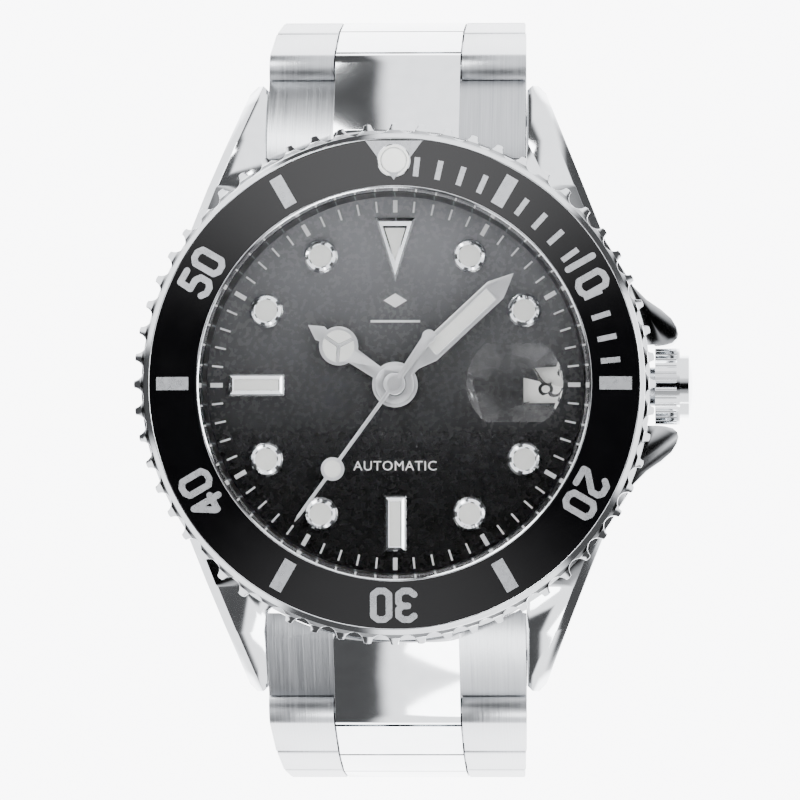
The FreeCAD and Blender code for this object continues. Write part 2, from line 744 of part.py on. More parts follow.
def spoke_gaps(radius, x=0.0, z=0.0):
    """Four sectors that leave a cross of spokes in a wheel."""
    space = disc(radius, 0, 9, x, z)
    bars = [Part.makeBox(4 * radius, 9, 0.7, V(x - 2 * radius, -9, z - 0.35)),
            Part.makeBox(0.7, 9, 4 * radius, V(x - 0.35, -9, z - 2 * radius))]
    return space.cut(bars[0]).cut(bars[1])


def third_wheel():
    x, z = third_place
    pitch = train_distance * fourth_ratio / (fourth_ratio + 1)
    wheel = gear(pitch, 60, 0.3, third_level, third_level + wheel_thick, x, z)
    wheel = wheel.cut(ring(pitch - 1.0, 1.4, 5, 7, x, z).common(spoke_gaps(pitch - 1.0, x, z)))
    pinion = gear(train_distance / (third_ratio + 1), 8, 0.14, third_pinion_level,
                  third_pinion_level + 0.45, x, z)
    return fuse(wheel, pinion, arbor(third_place, bridge_high, plate_low))


def fourth_wheel():
    """Fourth wheel at the centre; its long arbor carries the second hand."""
    pitch = escape_distance * escape_ratio / (escape_ratio + 1)
    wheel = gear(pitch, 80, 0.3, fourth_level, fourth_level + wheel_thick)
    wheel = wheel.cut(ring(pitch - 1.0, 1.4, 4, 5).common(spoke_gaps(pitch - 1.0)))
    pinion = gear(train_distance / (fourth_ratio + 1), 8, 0.14, third_level - 0.1, third_level + 0.25)
    shaft = disc(seconds_arbor_radius, 4.08, second_hand_low + hand_thick)
    return fuse(wheel, pinion, shaft, disc(pivot_radius, 3.65, 4.1))


def escape_wheel():
    x, z = escape_place
    wheel = gear(escape_radius, 15, 0.6, escape_level, escape_level + wheel_thick, x, z)
    pinion = gear(escape_distance / (escape_ratio + 1), 8, 0.12, fourth_level - 0.05,
                  fourth_level + 0.35, x, z)
    return fuse(wheel, pinion, arbor(escape_place, bridge_high, plate_low))


def pallet_fork():
    """Lever with two pallets by the escape wheel and a fork by the balance staff."""
    x, z = pallet_place
    towards = math.atan2(escape_place[1] - z, escape_place[0] - x)
    lever = math.atan2(balance_place[1] - z, balance_place[0] - x)

    def local(angle, points):
        cosine = math.cos(angle)
        sine = math.sin(angle)
        return plate([(x + u * cosine - v * sine, z + u * sine + v * cosine) for u, v in points],
                     escape_level, escape_level + wheel_thick)

    arms = local(towards, [(-0.25, -1.6), (0.25, -1.6), (0.25, 1.6), (-0.25, 1.6)])
    near = local(towards, [(0.0, 1.25), (0.55, 1.25), (0.55, 1.6), (0.0, 1.6)])
    far = local(towards, [(0.0, -1.6), (0.55, -1.6), (0.55, -1.25), (0.0, -1.25)])
    rod = local(lever, [(0.0, -0.2), (3.2, -0.14), (3.2, 0.14), (0.0, 0.2)])
    return fuse(arms, near, far, rod, arbor(pallet_place, bridge_high, plate_low))


def balance_wheel():
    x, z = balance_place
    rim = ring(balance_radius, balance_radius - 0.5, drum_level, drum_level + 0.35, x, z)
    bars = plate(rectangle(x, z, 2 * balance_radius - 0.5, 0.5), drum_level + 0.05, drum_level + 0.3)
    return fuse(rim, bars, disc(0.5, 5.0, 5.3, x, z), arbor(balance_place, bridge_high, plate_low))


def hairspring():
    """Flat spiral between the cock and the balance."""
    x, z = balance_place
    outer = []
    inner = []
    steps = 40
    for index in range(steps + 1):
        share = index / steps
        angle = 2 * math.pi * 4 * share
        reach = 0.45 + 2.1 * share
        outer.append(V(x + reach * math.cos(angle), -4.1, z + reach * math.sin(angle)))
        inner.append(V(x + (reach - 0.1) * math.cos(angle), -4.1, z + (reach - 0.1) * math.sin(angle)))
    first = Part.BSplineCurve()
    first.interpolate(outer)
    second = Part.BSplineCurve()
    second.interpolate(inner)
    ends = [Part.makeLine(outer[-1], inner[-1]), Part.makeLine(inner[0], outer[0])]
    wire = Part.Wire([first.toShape(), ends[0], second.toShape(), ends[1]])
    return Part.Face(wire).extrude(V(0, -0.2, 0))


def cannon_pinion():
    top = motion_level + 0.32
    shaft = disc(cannon_radius, top, minute_hand_low + hand_thick)
    shape = fuse(shaft, gear(1.0, 12, 0.15, motion_level, top))
    return shape.cut(disc(centre_tube_radius, 0, centre_tube_high)).cut(disc(centre_tube_bore, 9, 12))


def minute_wheel():
    x, z = minute_wheel_place
    middle = motion_level + 0.22
    shape = fuse(gear(3.0, 36, 0.3, motion_level, middle, x, z),
                 gear(0.8, 10, 0.15, middle, hour_level + wheel_thick, x, z))
    return shape.cut(disc(0.3 + run, 0, 9, x, z))


def hour_wheel():
    shape = fuse(gear(motion_wheel_radius, 40, 0.3, hour_level, hour_level + wheel_thick),
                 disc(hour_tube_radius, hour_level, hour_hand_low + hand_thick))
    return shape.cut(disc(hour_tube_bore, 0, 12))


def date_ring():
    """Date disc between the main plate and the dial, with driving teeth on its inner edge."""
    points = []
    for index in range(62):
        reach = 9.35 if index % 2 == 0 else 9.75
        points.append(polar(reach, 180 / 31 * index))
    return disc(12.75, plate_high + run, dial_low - run).cut(plate(points, 0, 10))


def rotor():
    """Half-disc winding weight that turns freely on the bearing of the bridge."""
    half = Part.makeBox(40, 20, 20, V(-20, -10, -20))
    blade = disc(rotor_radius, rotor_plate_low, rotor_plate_high).common(half)
    weight = ring(rotor_radius, rotor_radius - 2.4, rotor_low + 0.1, rotor_high).common(half)
    hub = disc(2.6, rotor_plate_low, rotor_plate_high)
    band = ring(rotor_radius - 3.4, 4.6, 0, 9)
    gaps = [band.common(turn_about_y(sector(38), angle)) for angle in (-48, 0, 48)]
    shape = fuse(blade, weight, hub).cut(Part.makeCompound(gaps))
    return shape.cut(disc(rotor_bore + run, 0, 9))


def sector(degrees):
    """Wedge that opens downwards from the centre."""
    x, z = polar(30, -90 + degrees / 2)
    return plate([(0, 0), (-x, z), (x, z)], 0, 9)


# ---- bracelet ----------------------------------------------------------------------------
def chain():
    """Pins of the 12 o'clock half as (z, height), from the end link to the clasp."""
    pins = [(first_pivot_z, first_pivot_height)]
    for angle in link_angles:
        z, height = pins[-1]
        reach = math.radians(angle)
        pins.append((z + link_pitch * math.cos(reach), height - link_pitch * math.sin(reach)))
    return pins


def row(profile_ends, half_inner, half_outer):
    """Block of one row in the link's own frame: along X, pitch along +Z, outside at -Y."""
    start_round, end_round = profile_ends
    thick = link_half_thick
    shape = Part.makeBox(half_outer - half_inner, 2 * thick, link_pitch, V(half_inner, -thick, 0))
    ends = {True: 0.0, False: link_pitch}
    for is_start, rounded in ((True, start_round), (False, end_round)):
        centre = V(half_inner - 1, 0, ends[is_start])
        if rounded:
            shape = shape.fuse(Part.makeCylinder(thick, half_outer - half_inner,
                                                 V(half_inner, 0, ends[is_start]), V(1, 0, 0)))
        else:
            shape = shape.cut(Part.makeCylinder(thick + link_gap, half_outer - half_inner + 2, centre,
                                                V(1, 0, 0)))
    return shape


def link(width_start, width_end):
    """Solid link: outer rows round the first pin, middle row reaching to the next one."""
    half_centre = link_centre_width / 2
    middle = row((False, True), -half_centre, half_centre)
    right = row((True, False), half_centre + row_gap, bracelet_width)
    left = right.mirror(V(0, 0, 0), V(1, 0, 0))
    thick = link_half_thick
    web_start = thick + link_gap + 0.25
    web = Part.makeBox(link_centre_width + 1, 2 * thick - 0.8, link_pitch - 2 * web_start,
                       V(-half_centre - 0.5, -thick + 0.4, web_start))
    shape = middle.multiFuse([right, left, web])
    corners = [V(-width_start / 2, -5, -2), V(width_start / 2, -5, -2),
               V(width_end / 2, -5, link_pitch + 2), V(-width_end / 2, -5, link_pitch + 2)]
    taper = Part.Face(Part.makePolygon(corners + corners[:1])).extrude(V(0, 10, 0))
    shape = shape.common(taper)
    far_bore = Part.makeCylinder(pin_radius + run, 60, V(-30, 0, link_pitch), V(1, 0, 0))
    near_bore = Part.makeCylinder(pin_radius, 60, V(-30, 0, 0), V(1, 0, 0))
    shape = shape.cut(far_bore).cut(near_bore)
    pin_half = width_start / 2 - 0.6
    pin = Part.makeCylinder(pin_radius, 2 * pin_half, V(-pin_half, 0, 0), V(1, 0, 0))
    return shape, pin


def placed(shape, index):
    """Move a link from its own frame to its place in the 12 o'clock half."""
    z, height = chain()[index]
    moved = shape.copy()
    moved.rotate(V(0, 0, 0), V(1, 0, 0), -link_angles[index])
    moved.translate(V(0, -height, z))
    return moved


def bracelet_half(name, flip):
    for index in range(len(link_angles)):
        width_start = bracelet_width - bracelet_taper * index
        solids = [placed(each, index) for each in link(width_start, width_start - bracelet_taper)]
        if flip:
            solids = [mirrored_z(each) for each in solids]
        save("link_%s_%d" % (name, index + 1), *solids)


def end_link():
    """Fixed piece between the lugs; its middle reaches round the first bracelet pin."""
    half = lug_gap / 2 - 0.08
    centre = link_centre_width / 2
    clear = link_half_thick + link_gap
    z, height = first_pivot_z, first_pivot_height
    outer = slab([(17.5, 3.8), (17.5, 7.9), (19.6, 7.0), (22.2, 4.9), (23.9, 3.3), (23.9, 1.2), (21.5, 0.9)],
                 -half, half)
    outer = outer.cut(across(clear, -half - 1, half + 1, z, height))
    middle = slab([(17.5, 3.8), (17.5, 8.25), (19.8, 7.3), (22.4, 5.1), (z + 0.95, height + 1.16),
                   (z - 1.3, height - 0.5), (21.5, 0.9)], -centre, centre)
    middle = middle.fuse(across(link_half_thick, -centre, centre, z, height))
    shape = outer.fuse(middle).removeSplitter()
    cuts = [disc(case_radius + 0.08, -1, 20),
            across(bar_radius + run, -half - 1, half + 1, bar_z, bar_height),
            across(pin_radius + run, -centre - 1, centre + 1, z, height)]
    return shape.cut(cuts[0]).cut(cuts[1]).cut(cuts[2])


def spring_bars():
    bars = []
    for z in (bar_z, -bar_z):
        tube = across(bar_radius, -lug_gap / 2 + 0.1, lug_gap / 2 - 0.1, z, bar_height)
        tips = across(bar_tip_radius - run, -lug_gap / 2 - bar_tip_length + 0.05,
                      lug_gap / 2 + bar_tip_length - 0.05, z, bar_height)
        bars.append(tube.fuse(tips).removeSplitter())
    return bars


# ---- clasp -------------------------------------------------------------------------------
def clasp_places():
    """Pin of the cover (6 side), hinge of cover and long blade (12 side), hinge of the blades."""
    end_z, end_height = chain()[-1]
    cover_pin = (-end_z, end_height)
    cover_hinge = (end_z - clasp_end_room, end_height - 0.3)
    blade_hinge = (-end_z + fold_reach, end_height + fold_rise)
    return cover_pin, cover_hinge, blade_hinge


def button_height():
    return chain()[-1][1] + button_rise


def clasp_cover():
    """Outer shell with two side walls, open towards the wrist."""
    (pin_z, pin_h), (hinge_z, hinge_h), _ = clasp_places()
    half = clasp_width / 2
    back = pin_h - link_half_thick - slide_gap - 1.3
    top = slab([(pin_z - 1.2, back + 0.5), (pin_z - 1.2, back + 1.3), (hinge_z + 1.0, back + 1.3),
                (hinge_z + 1.0, back + 0.5), (hinge_z - 2, back), (pin_z + 3, back)], -half, half)
    walls = []
    for side in (-half, half - clasp_wall):
        walls.append(slab([(pin_z - 0.65, back + 0.6), (pin_z - 0.65, pin_h - 1.2), (pin_z - 1.2, pin_h - 0.65),
                           (pin_z - 1.2, pin_h + 0.9), (pin_z + 1.5, pin_h + 1.6),
                           (hinge_z - 2, pin_h + 1.4), (hinge_z + 1.0, pin_h + 0.6),
                           (hinge_z + 1.0, back + 0.6)], side, side + clasp_wall))
    knuckles = []
    knuckle = half - blade_width / 2 - slide_gap
    for side in (-half, half - knuckle):
        knuckles.append(across(hinge_radius, side, side + knuckle, hinge_z, hinge_h))
    shape = fuse(top, *(walls + knuckles))
    cuts = [across(hinge_pin, -half + end_wall, half - end_wall, hinge_z, hinge_h),
            across(pin_radius, -half + end_wall, half - end_wall, pin_z, pin_h)]
    for side in (-half - 1, half - clasp_wall - 1):
        cuts.append(across(button_radius + run, side, side + clasp_wall + 2, button_z, button_height()))
    shape = shape.cut(Part.makeCompound(cuts[:2])).cut(Part.makeCompound(cuts[2:]))
    bar = across(pin_radius, -half + end_wall, half - end_wall, pin_z, pin_h)
    pin = across(hinge_pin, -half + end_wall, half - end_wall, hinge_z, hinge_h)
    return shape, bar, pin


def blade(start, end, shape_width):
    """Flat bar between two hinge lines, given as (z, height)."""
    (z1, h1), (z2, h2) = start, end
    half = shape_width / 2
    return slab([(z1, h1 - blade_thick / 2), (z1, h1 + blade_thick / 2), (z2, h2 + blade_thick / 2),
                 (z2, h2 - blade_thick / 2)], -half, half)


def clasp_blade_long():
    """Hinged to the cover; folds out towards the wrist."""
    _, hinge, fold = clasp_places()
    half = blade_width / 2
    shape = fuse(blade(hinge, fold, blade_width), across(hinge_radius, -half, half, *hinge),
                 across(hinge_radius, -half, half, *fold))
    inner = blade_inner_half
    cut = across(hinge_radius + slide_gap, -inner - slide_gap, inner + slide_gap, *fold)
    shape = shape.cut(cut).cut(across(hinge_pin + run, -20, 20, *hinge))
    shape = shape.cut(across(hinge_pin, -20, 20, *fold))
    pin = across(hinge_pin, -half, half, *fold)
    return shape, pin


def clasp_blade_short():
    """Hinged to the long blade and hooked to the last link of the 12 o'clock half."""
    _, _, fold = clasp_places()
    end_z, end_height = chain()[-1]
    inner = blade_inner_half
    low = fold[1] + 1.1
    knee = (end_z - 2.2, low + 0.2)
    arm = slab([(fold[0], fold[1]), (fold[0], fold[1] + blade_thick), (fold[0] + 1.2, low + blade_thick),
                (knee[0], low + blade_thick), (knee[0], low + 0.1),
                (fold[0] + 1.4, low + 0.1), (fold[0] + 0.6, fold[1])], -inner, inner)
    fork = []
    ear_in = link_centre_width / 2 + slide_gap
    for side in (-ear_in - fork_ear, ear_in):
        fork.append(slab([(knee[0] - 0.8, low + 0.1), (knee[0] - 0.8, low + 0.8), (end_z, end_height + 0.9),
                          (end_z + 0.9, end_height), (end_z, end_height - 0.9)], side, side + fork_ear))
    yoke = slab([(knee[0] - 1.6, low + 0.1), (knee[0] - 1.6, low + blade_thick), (knee[0], low + blade_thick),
                 (knee[0], low + 0.1)], -ear_in - fork_ear, ear_in + fork_ear)
    shape = fuse(arm, across(hinge_radius, -inner, inner, *fold), yoke, *fork)
    return shape.cut(across(hinge_pin + run, -20, 20, *fold))


def clasp_button(side):
    half = clasp_width / 2
    start = half - clasp_wall - 1.2
    height = button_height()
    shape = across(button_radius, start, half + button_proud, button_z, height)
    shape = fuse(shape, across(button_radius + 0.3, start, start + 0.6, button_z, height))
    return shape if side > 0 else shape.mirror(V(0, 0, 0), V(1, 0, 0))


# ---- export ------------------------------------------------------------------------------
def main():
    os.makedirs("parts", exist_ok=True)
    save("mid_case", mid_case())
    save("case_back", case_back())
    save("case_back_glass", disc(back_glass_radius, 0, back_glass_thick))
    save("case_back_gasket", case_back_gasket())
    save("crystal", crystal())
    save("date_magnifier", date_magnifier())
    save("chapter_ring", chapter_ring())
    save("bezel", bezel())
    save("bezel_insert", bezel_insert())
    save("bezel_pearl", *bezel_pearl())
    save("bezel_click_spring", click_spring())
    save("dial", dial())
    frames, fillings = dial_markers()
    save("marker_frames", *frames)
    save("marker_fillings", *fillings)
    save("hour_hand", hour_hand())
    save("minute_hand", minute_hand())
    save("second_hand", second_hand())
    save("crown", crown())
    save("crown_tube", crown_tube())
    save("winding_stem", winding_stem())
    save("winding_pinion", winding_pinion())
    save("main_plate", main_plate())
    save("train_bridge", train_bridge())
    save("balance_cock", balance_cock())
    save("jewels", *jewels())
    save("movement_screws", *movement_screws())
    save("movement_holder", movement_holder())
    save("barrel", barrel())
    save("centre_wheel", centre_wheel())
    save("third_wheel", third_wheel())
    save("fourth_wheel", fourth_wheel())
    save("escape_wheel", escape_wheel())
    save("pallet_fork", pallet_fork())
    save("balance_wheel", balance_wheel())
    save("hairspring", hairspring())
    save("cannon_pinion", cannon_pinion())
    save("minute_wheel", minute_wheel())
    save("hour_wheel", hour_wheel())
    save("date_ring", date_ring())
    save("rotor", rotor())
    save("spring_bars", *spring_bars())
    upper = end_link()
    save("end_link_12", upper)
    save("end_link_6", mirrored_z(upper))
    bracelet_half("12", False)
    bracelet_half("6", True)
    save("clasp_cover", *clasp_cover())
    save("clasp_blade_long", *clasp_blade_long())
    save("clasp_blade_short", clasp_blade_short())
    save("clasp_button_right", clasp_button(1))
    save("clasp_button_left", clasp_button(-1))


main()
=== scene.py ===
import json
import math

import bmesh
import bpy
from bpy.props import FloatProperty, PointerProperty, StringProperty
from mathutils import Matrix, Vector


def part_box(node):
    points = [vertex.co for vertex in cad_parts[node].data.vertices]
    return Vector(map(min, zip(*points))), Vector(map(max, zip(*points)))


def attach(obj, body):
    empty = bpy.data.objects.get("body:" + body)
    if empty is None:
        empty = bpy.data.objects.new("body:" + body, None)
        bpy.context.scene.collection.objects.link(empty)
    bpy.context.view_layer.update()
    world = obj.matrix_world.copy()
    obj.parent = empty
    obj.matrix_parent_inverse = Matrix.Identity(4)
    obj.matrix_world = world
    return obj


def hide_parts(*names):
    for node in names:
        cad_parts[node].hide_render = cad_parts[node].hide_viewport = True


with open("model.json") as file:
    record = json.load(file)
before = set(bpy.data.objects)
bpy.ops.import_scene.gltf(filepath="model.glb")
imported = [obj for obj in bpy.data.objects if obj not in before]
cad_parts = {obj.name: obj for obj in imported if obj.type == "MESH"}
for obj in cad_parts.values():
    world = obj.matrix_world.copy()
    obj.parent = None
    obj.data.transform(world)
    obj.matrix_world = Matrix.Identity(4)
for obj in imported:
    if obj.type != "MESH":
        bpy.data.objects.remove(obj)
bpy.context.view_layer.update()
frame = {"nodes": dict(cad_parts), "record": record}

bl_info = {
    "name": "Diver's wristwatch",
    "version": (1, 0, 0),
    "blender": (4, 5, 0),
    "location": "3D View > Sidebar > Wristwatch",
    "description": "Finishes a steel diver's wristwatch: case, bezel, dial, hands, movement and bracelet",
    "category": "Object",
}

MM = 0.001
WELD = 0.002 * MM           # vertices nearer than this are one
SINK = 0.02                 # how far a printed or inlaid mark reaches into what carries it
INK = 0.02 * MM             # thickness of a printed layer
RING = 60                   # minutes round a dial or a bezel
DAYS = 31
BRACELET_LINKS = 6          # links in each half of the bracelet
MIDDLE_ROW_HALF = 4.87      # half the width of the polished middle row

# The bezel's silver scale, in millimetres
INSERT_BORE = 15.15
INSERT_DROP = 0.5           # how far the insert falls from its bore to its rim
SCALE_RADIUS = 16.95
SCALE_PROUD = 0.05
BEZEL_BATON = (1.0, 2.5)
BEZEL_TICK_RADIUS = 16.65
PEARL_RADIUS = 17.05
PEARL_LUME = 0.94           # radius of the lume inside the pearl's setting

# The dial's markers and printing, in millimetres
ROUND_MARKER_PLACE = 11.45
ROUND_MARKER_RADII = (1.3, 0.85)
BATON_PLACE = 10.68
BATON_SIZE = (4.3, 1.7)
BATON_FRAME = 0.42
TRIANGLE_TOP = 12.86
TRIANGLE_HEIGHT = 5.0
TRIANGLE_HALF = 1.55
TRIANGLE_WELL = 0.52        # share of the triangle that its filling takes
MARKER_STEPS = 48
TRACK_RADIUS = 13.75
DATE_RADIUS = 11.2
SHOWN_DAY = 8

# The hands: their angles clockwise from 12, and where their lume lies
HOUR_ANGLE = math.radians(304.5)
MINUTE_ANGLE = math.radians(47.0)
SECOND_ANGLE = math.radians(216.0)
HOUR_RING = 5.25
MINUTE_SLOT = 7.0
SECOND_DISC = 8.05


# ---- colour and nodes --------------------------------------------------------------------
def linear(text):
    """An sRGB hex colour as linear RGBA."""
    values = []
    for start in (0, 2, 4):
        value = int(text[start:start + 2], 16) / 255
        values.append(value / 12.92 if value <= 0.04045 else ((value + 0.055) / 1.055) ** 2.4)
    return (*values, 1.0)


def add(tree, kind, settings=None, **links):
    """Adds a node, sets its properties and plain inputs, and links sockets into it."""
    node = tree.nodes.new(kind)
    for key, value in (settings or {}).items():
        if key.startswith("@"):
            node.inputs[key[1:]].default_value = value
        else:
            setattr(node, key, value)
    for key, source in links.items():
        numbered = key[0] == "i" and key[1:].isdigit()
        socket = int(key[1:]) if numbered else key.replace("_", " ")
        tree.links.new(source, node.inputs[socket])
    return node


def new_material(name, **settings):
    """A material with one Principled shader; returns the material, its tree, shader and coordinates."""
    material = bpy.data.materials.new(name)
    material.use_nodes = True
    tree = material.node_tree
    tree.nodes.clear()
    plain = {"@" + key.replace("_", " "): value for key, value in settings.items()}
    shader = add(tree, "ShaderNodeBsdfPrincipled", plain)
    add(tree, "ShaderNodeOutputMaterial", None, Surface=shader.outputs[0])
    place = add(tree, "ShaderNodeTexCoord").outputs["Object"]
    return material, tree, shader, place


def spread(tree, source, low, high):
    """Maps 0 to 1 onto a range."""
    return add(tree, "ShaderNodeMapRange", {"@To Min": low, "@To Max": high}, Value=source).outputs[0]


def two_tone(tree, factor, first, second):
    mix = add(tree, "ShaderNodeMix", {"data_type": "RGBA"})
    tree.links.new(factor, mix.inputs[0])
    mix.inputs[6].default_value = linear(first)
    mix.inputs[7].default_value = linear(second)
    return mix.outputs[2]


def noise(tree, place, scale, detail=4.0, stretch=(1, 1, 1)):
    """Noise with one feature per 1/scale metres, stretched along chosen axes."""
    mapped = add(tree, "ShaderNodeMapping", {"@Scale": stretch}, Vector=place).outputs[0]
    return add(tree, "ShaderNodeTexNoise", {"@Scale": scale, "@Detail": detail}, Vector=mapped).outputs[0]


def bump(tree, shader, height, distance, strength=1.0):
    node = add(tree, "ShaderNodeBump", {"@Strength": strength, "@Distance": distance}, Height=height)
    tree.links.new(node.outputs[0], shader.inputs["Normal"])


# ---- materials ---------------------------------------------------------------------------
def polished_steel(colours):
    """316L stainless steel, mirror polished: near-white metal with hairlines too fine to see one by one."""
    material, tree, shader, place = new_material("polished_316L", Metallic=1.0)
    wear = noise(tree, place, 900, 6.0)
    tree.links.new(two_tone(tree, wear, colours.steel_dark, colours.steel), shader.inputs["Base Color"])
    tree.links.new(spread(tree, noise(tree, place, 260), 0.05, 0.13), shader.inputs["Roughness"])
    bump(tree, shader, noise(tree, place, 400, 2.0), 0.00002, 0.15)
    return material


def brushed_steel(colours):
    """316L stainless steel with a belt-brushed grain about 0.1 mm wide that runs along the bracelet."""
    material, tree, shader, place = new_material("brushed_316L", Metallic=1.0)
    grain = noise(tree, place, 9000, 3.0, (1.0, 0.012, 0.012))
    tree.links.new(two_tone(tree, grain, colours.brushed_dark, colours.brushed), shader.inputs["Base Color"])
    tree.links.new(spread(tree, grain, 0.24, 0.42), shader.inputs["Roughness"])
    bump(tree, shader, grain, 0.00003, 0.5)
    return material


def machined_steel():
    """Plain machined steel of springs, screws and arbors, with turning marks."""
    material, tree, shader, place = new_material("machined_steel", Metallic=1.0)
    marks = noise(tree, place, 5000, 2.0, (1.0, 0.2, 1.0))
    tree.links.new(two_tone(tree, marks, "8C8F93", "B4B7BA"), shader.inputs["Base Color"])
    tree.links.new(spread(tree, marks, 0.2, 0.36), shader.inputs["Roughness"])
    return material


def rhodium_plate():
    """Brass plated with rhodium and spotted with overlapping polished circles about 1 mm wide."""
    material, tree, shader, place = new_material("rhodium_plated_brass", Metallic=1.0)
    flat = add(tree, "ShaderNodeMapping", {"@Scale": (1, 0, 1)}, Vector=place).outputs[0]
    spots = add(tree, "ShaderNodeTexVoronoi", {"@Scale": 1000.0, "@Randomness": 0.25}, Vector=flat)
    rings = add(tree, "ShaderNodeMath", {"operation": "MULTIPLY"}, i0=spots.outputs["Distance"])
    rings.inputs[1].default_value = 40.0
    wave = add(tree, "ShaderNodeMath", {"operation": "SINE"}, i0=rings.outputs[0]).outputs[0]
    shade = spread(tree, wave, 0.2, 0.8)
    tree.links.new(two_tone(tree, shade, "A9A8A3", "CFCEC8"), shader.inputs["Base Color"])
    tree.links.new(spread(tree, wave, 0.2, 0.34), shader.inputs["Roughness"])
    return material


def gilt_brass():
    """Gilt brass of wheels and barrel: warm yellow with fine circular turning."""
    material, tree, shader, place = new_material("gilt_brass", Metallic=1.0)
    turning = noise(tree, place, 4000, 2.0, (1.0, 0.1, 1.0))
    tree.links.new(two_tone(tree, turning, "B98F45", "E0BC72"), shader.inputs["Base Color"])
    tree.links.new(spread(tree, turning, 0.18, 0.3), shader.inputs["Roughness"])
    return material


def sapphire():
    """Clear synthetic sapphire: hard mirror reflections, no tint; it bends light less than the real one."""
    material, tree, shader, place = new_material("sapphire", IOR=1.3, Roughness=0.0)
    shader.inputs["Base Color"].default_value = linear("FFFFFF")
    shader.inputs["Transmission Weight"].default_value = 1.0
    clean = noise(tree, place, 300)
    tree.links.new(spread(tree, clean, 0.0, 0.006), shader.inputs["Roughness"])
    return material


def ceramic_insert(colours):
    """Black zirconia, lapped to a deep gloss, with a faint cloudiness."""
    material, tree, shader, place = new_material("black_zirconia", IOR=1.8)
    cloud = noise(tree, place, 500)
    tree.links.new(two_tone(tree, cloud, colours.insert, "070708"), shader.inputs["Base Color"])
    tree.links.new(spread(tree, cloud, 0.06, 0.12), shader.inputs["Roughness"])
    return material


def dial_lacquer(colours):
    """Black lacquered dial with a faint fine grain under the lacquer and a painted reflection: its colour
    lightens from black at 6 to grey towards 12 o'clock.
    """
    material, tree, shader, place = new_material("black_lacquer_with_painted_reflection", IOR=1.5)
    parts = add(tree, "ShaderNodeSeparateXYZ", None, Vector=place)
    painted_reflection_rise = add(tree, "ShaderNodeMapRange", {"@From Min": -0.010, "@From Max": 0.0145},
                Value=parts.outputs[2])
    grain = noise(tree, place, 2500, 3.0)
    # painted reflection: the squared height share mixes the dial's black towards the grey at 12, brightest at
    # the top
    lift = add(tree, "ShaderNodeMath", {"operation": "MULTIPLY"}, i0=painted_reflection_rise.outputs[0], i1=painted_reflection_rise.outputs[0])
    grain_and_painted_reflection = add(tree, "ShaderNodeMath", {"operation": "MULTIPLY_ADD"}, i0=grain, i2=lift.outputs[0])
    grain_and_painted_reflection.inputs[1].default_value = 0.012
    tree.links.new(two_tone(tree, grain_and_painted_reflection.outputs[0], colours.dial_low, colours.dial_high),
                   shader.inputs["Base Color"])
    tree.links.new(spread(tree, grain, 0.22, 0.32), shader.inputs["Roughness"])
    shader.inputs["Coat Weight"].default_value = 0.5
    shader.inputs["Coat Roughness"].default_value = 0.05
    return material


def plain_finish(name, first, second, scale, rough_low, rough_high, metallic=0.0, grain=0.0):
    """A moulded, printed or painted finish: two close tones, uneven gloss and a fine skin."""
    material, tree, shader, place = new_material(name, Metallic=metallic)
    mottle = noise(tree, place, scale)
    tree.links.new(two_tone(tree, mottle, first, second), shader.inputs["Base Color"])
    tree.links.new(spread(tree, mottle, rough_low, rough_high), shader.inputs["Roughness"])
    if grain:
        bump(tree, shader, noise(tree, place, scale * 4), grain, 0.4)
    return material


def ruby():
    """Synthetic ruby bearing: deep pink glass."""
    material, tree, shader, place = new_material("synthetic_ruby", IOR=1.76)
    tone = noise(tree, place, 2000)
    tree.links.new(two_tone(tree, tone, "8E0F2E", "C0224A"), shader.inputs["Base Color"])
    tree.links.new(spread(tree, tone, 0.03, 0.08), shader.inputs["Roughness"])
    return material


FINISHES = {}


def finish_named(name):
    """Each finish is made once, on first use."""
    colours = bpy.context.scene.wristwatch
    makers = {
        "polished": lambda: polished_steel(colours),
        "brushed": lambda: brushed_steel(colours),
        "machined": machined_steel,
        "rhodium": rhodium_plate,
        "gilt": gilt_brass,
        "sapphire": sapphire,
        "ceramic": lambda: ceramic_insert(colours),
        "dial": lambda: dial_lacquer(colours),
        "ruby": ruby,
        # a strontium aluminate paint: chalky and cream white by day
        "lume": lambda: plain_finish("lume_paint", colours.lume, "F7F8F4", 2500, 0.55, 0.7, 0.0, 0.00003),
        # hand frames, diamond-milled and then satin-washed so that they stay bright from every side
        "satin": lambda: plain_finish("satin_steel", "D9DBDD", "E8E9EB", 1500, 0.36, 0.46, 1.0),
        # pad-printed white ink with a slight tooth
        "ink": lambda: plain_finish("white_printing_ink", "E4E5E6", "F2F3F3", 3000, 0.4, 0.5),
        # vapour-deposited platinum tone in the engraved scale
        "scale": lambda: plain_finish("silver_scale", "C9CCD0", "E3E5E8", 2000, 0.22, 0.34, 0.85),
        "black_ring": lambda: plain_finish("satin_black_ring", "08090A", "101113", 1500, 0.25, 0.35),
        "grey_ink": lambda: plain_finish("grey_printing_ink", "8E9296", "A4A8AC", 3000, 0.4, 0.5),
        "seal": lambda: plain_finish("nitrile_rubber", "0C0C0D", "161617", 2500, 0.6, 0.75, 0.0, 0.00004),
        "disc": lambda: plain_finish("white_enamelled_disc", "ECECE8", "F7F7F4", 1500, 0.4, 0.5),
        "digits": lambda: plain_finish("black_printing_ink", "0B0B0C", "151516", 3000, 0.4, 0.5),
        "resin": lambda: plain_finish("white_nylon", "CFCFC9", "DEDED9", 1800, 0.45, 0.6, 0.0, 0.00003),
    }
    if name not in FINISHES:
        FINISHES[name] = makers[name]()
    return FINISHES[name]


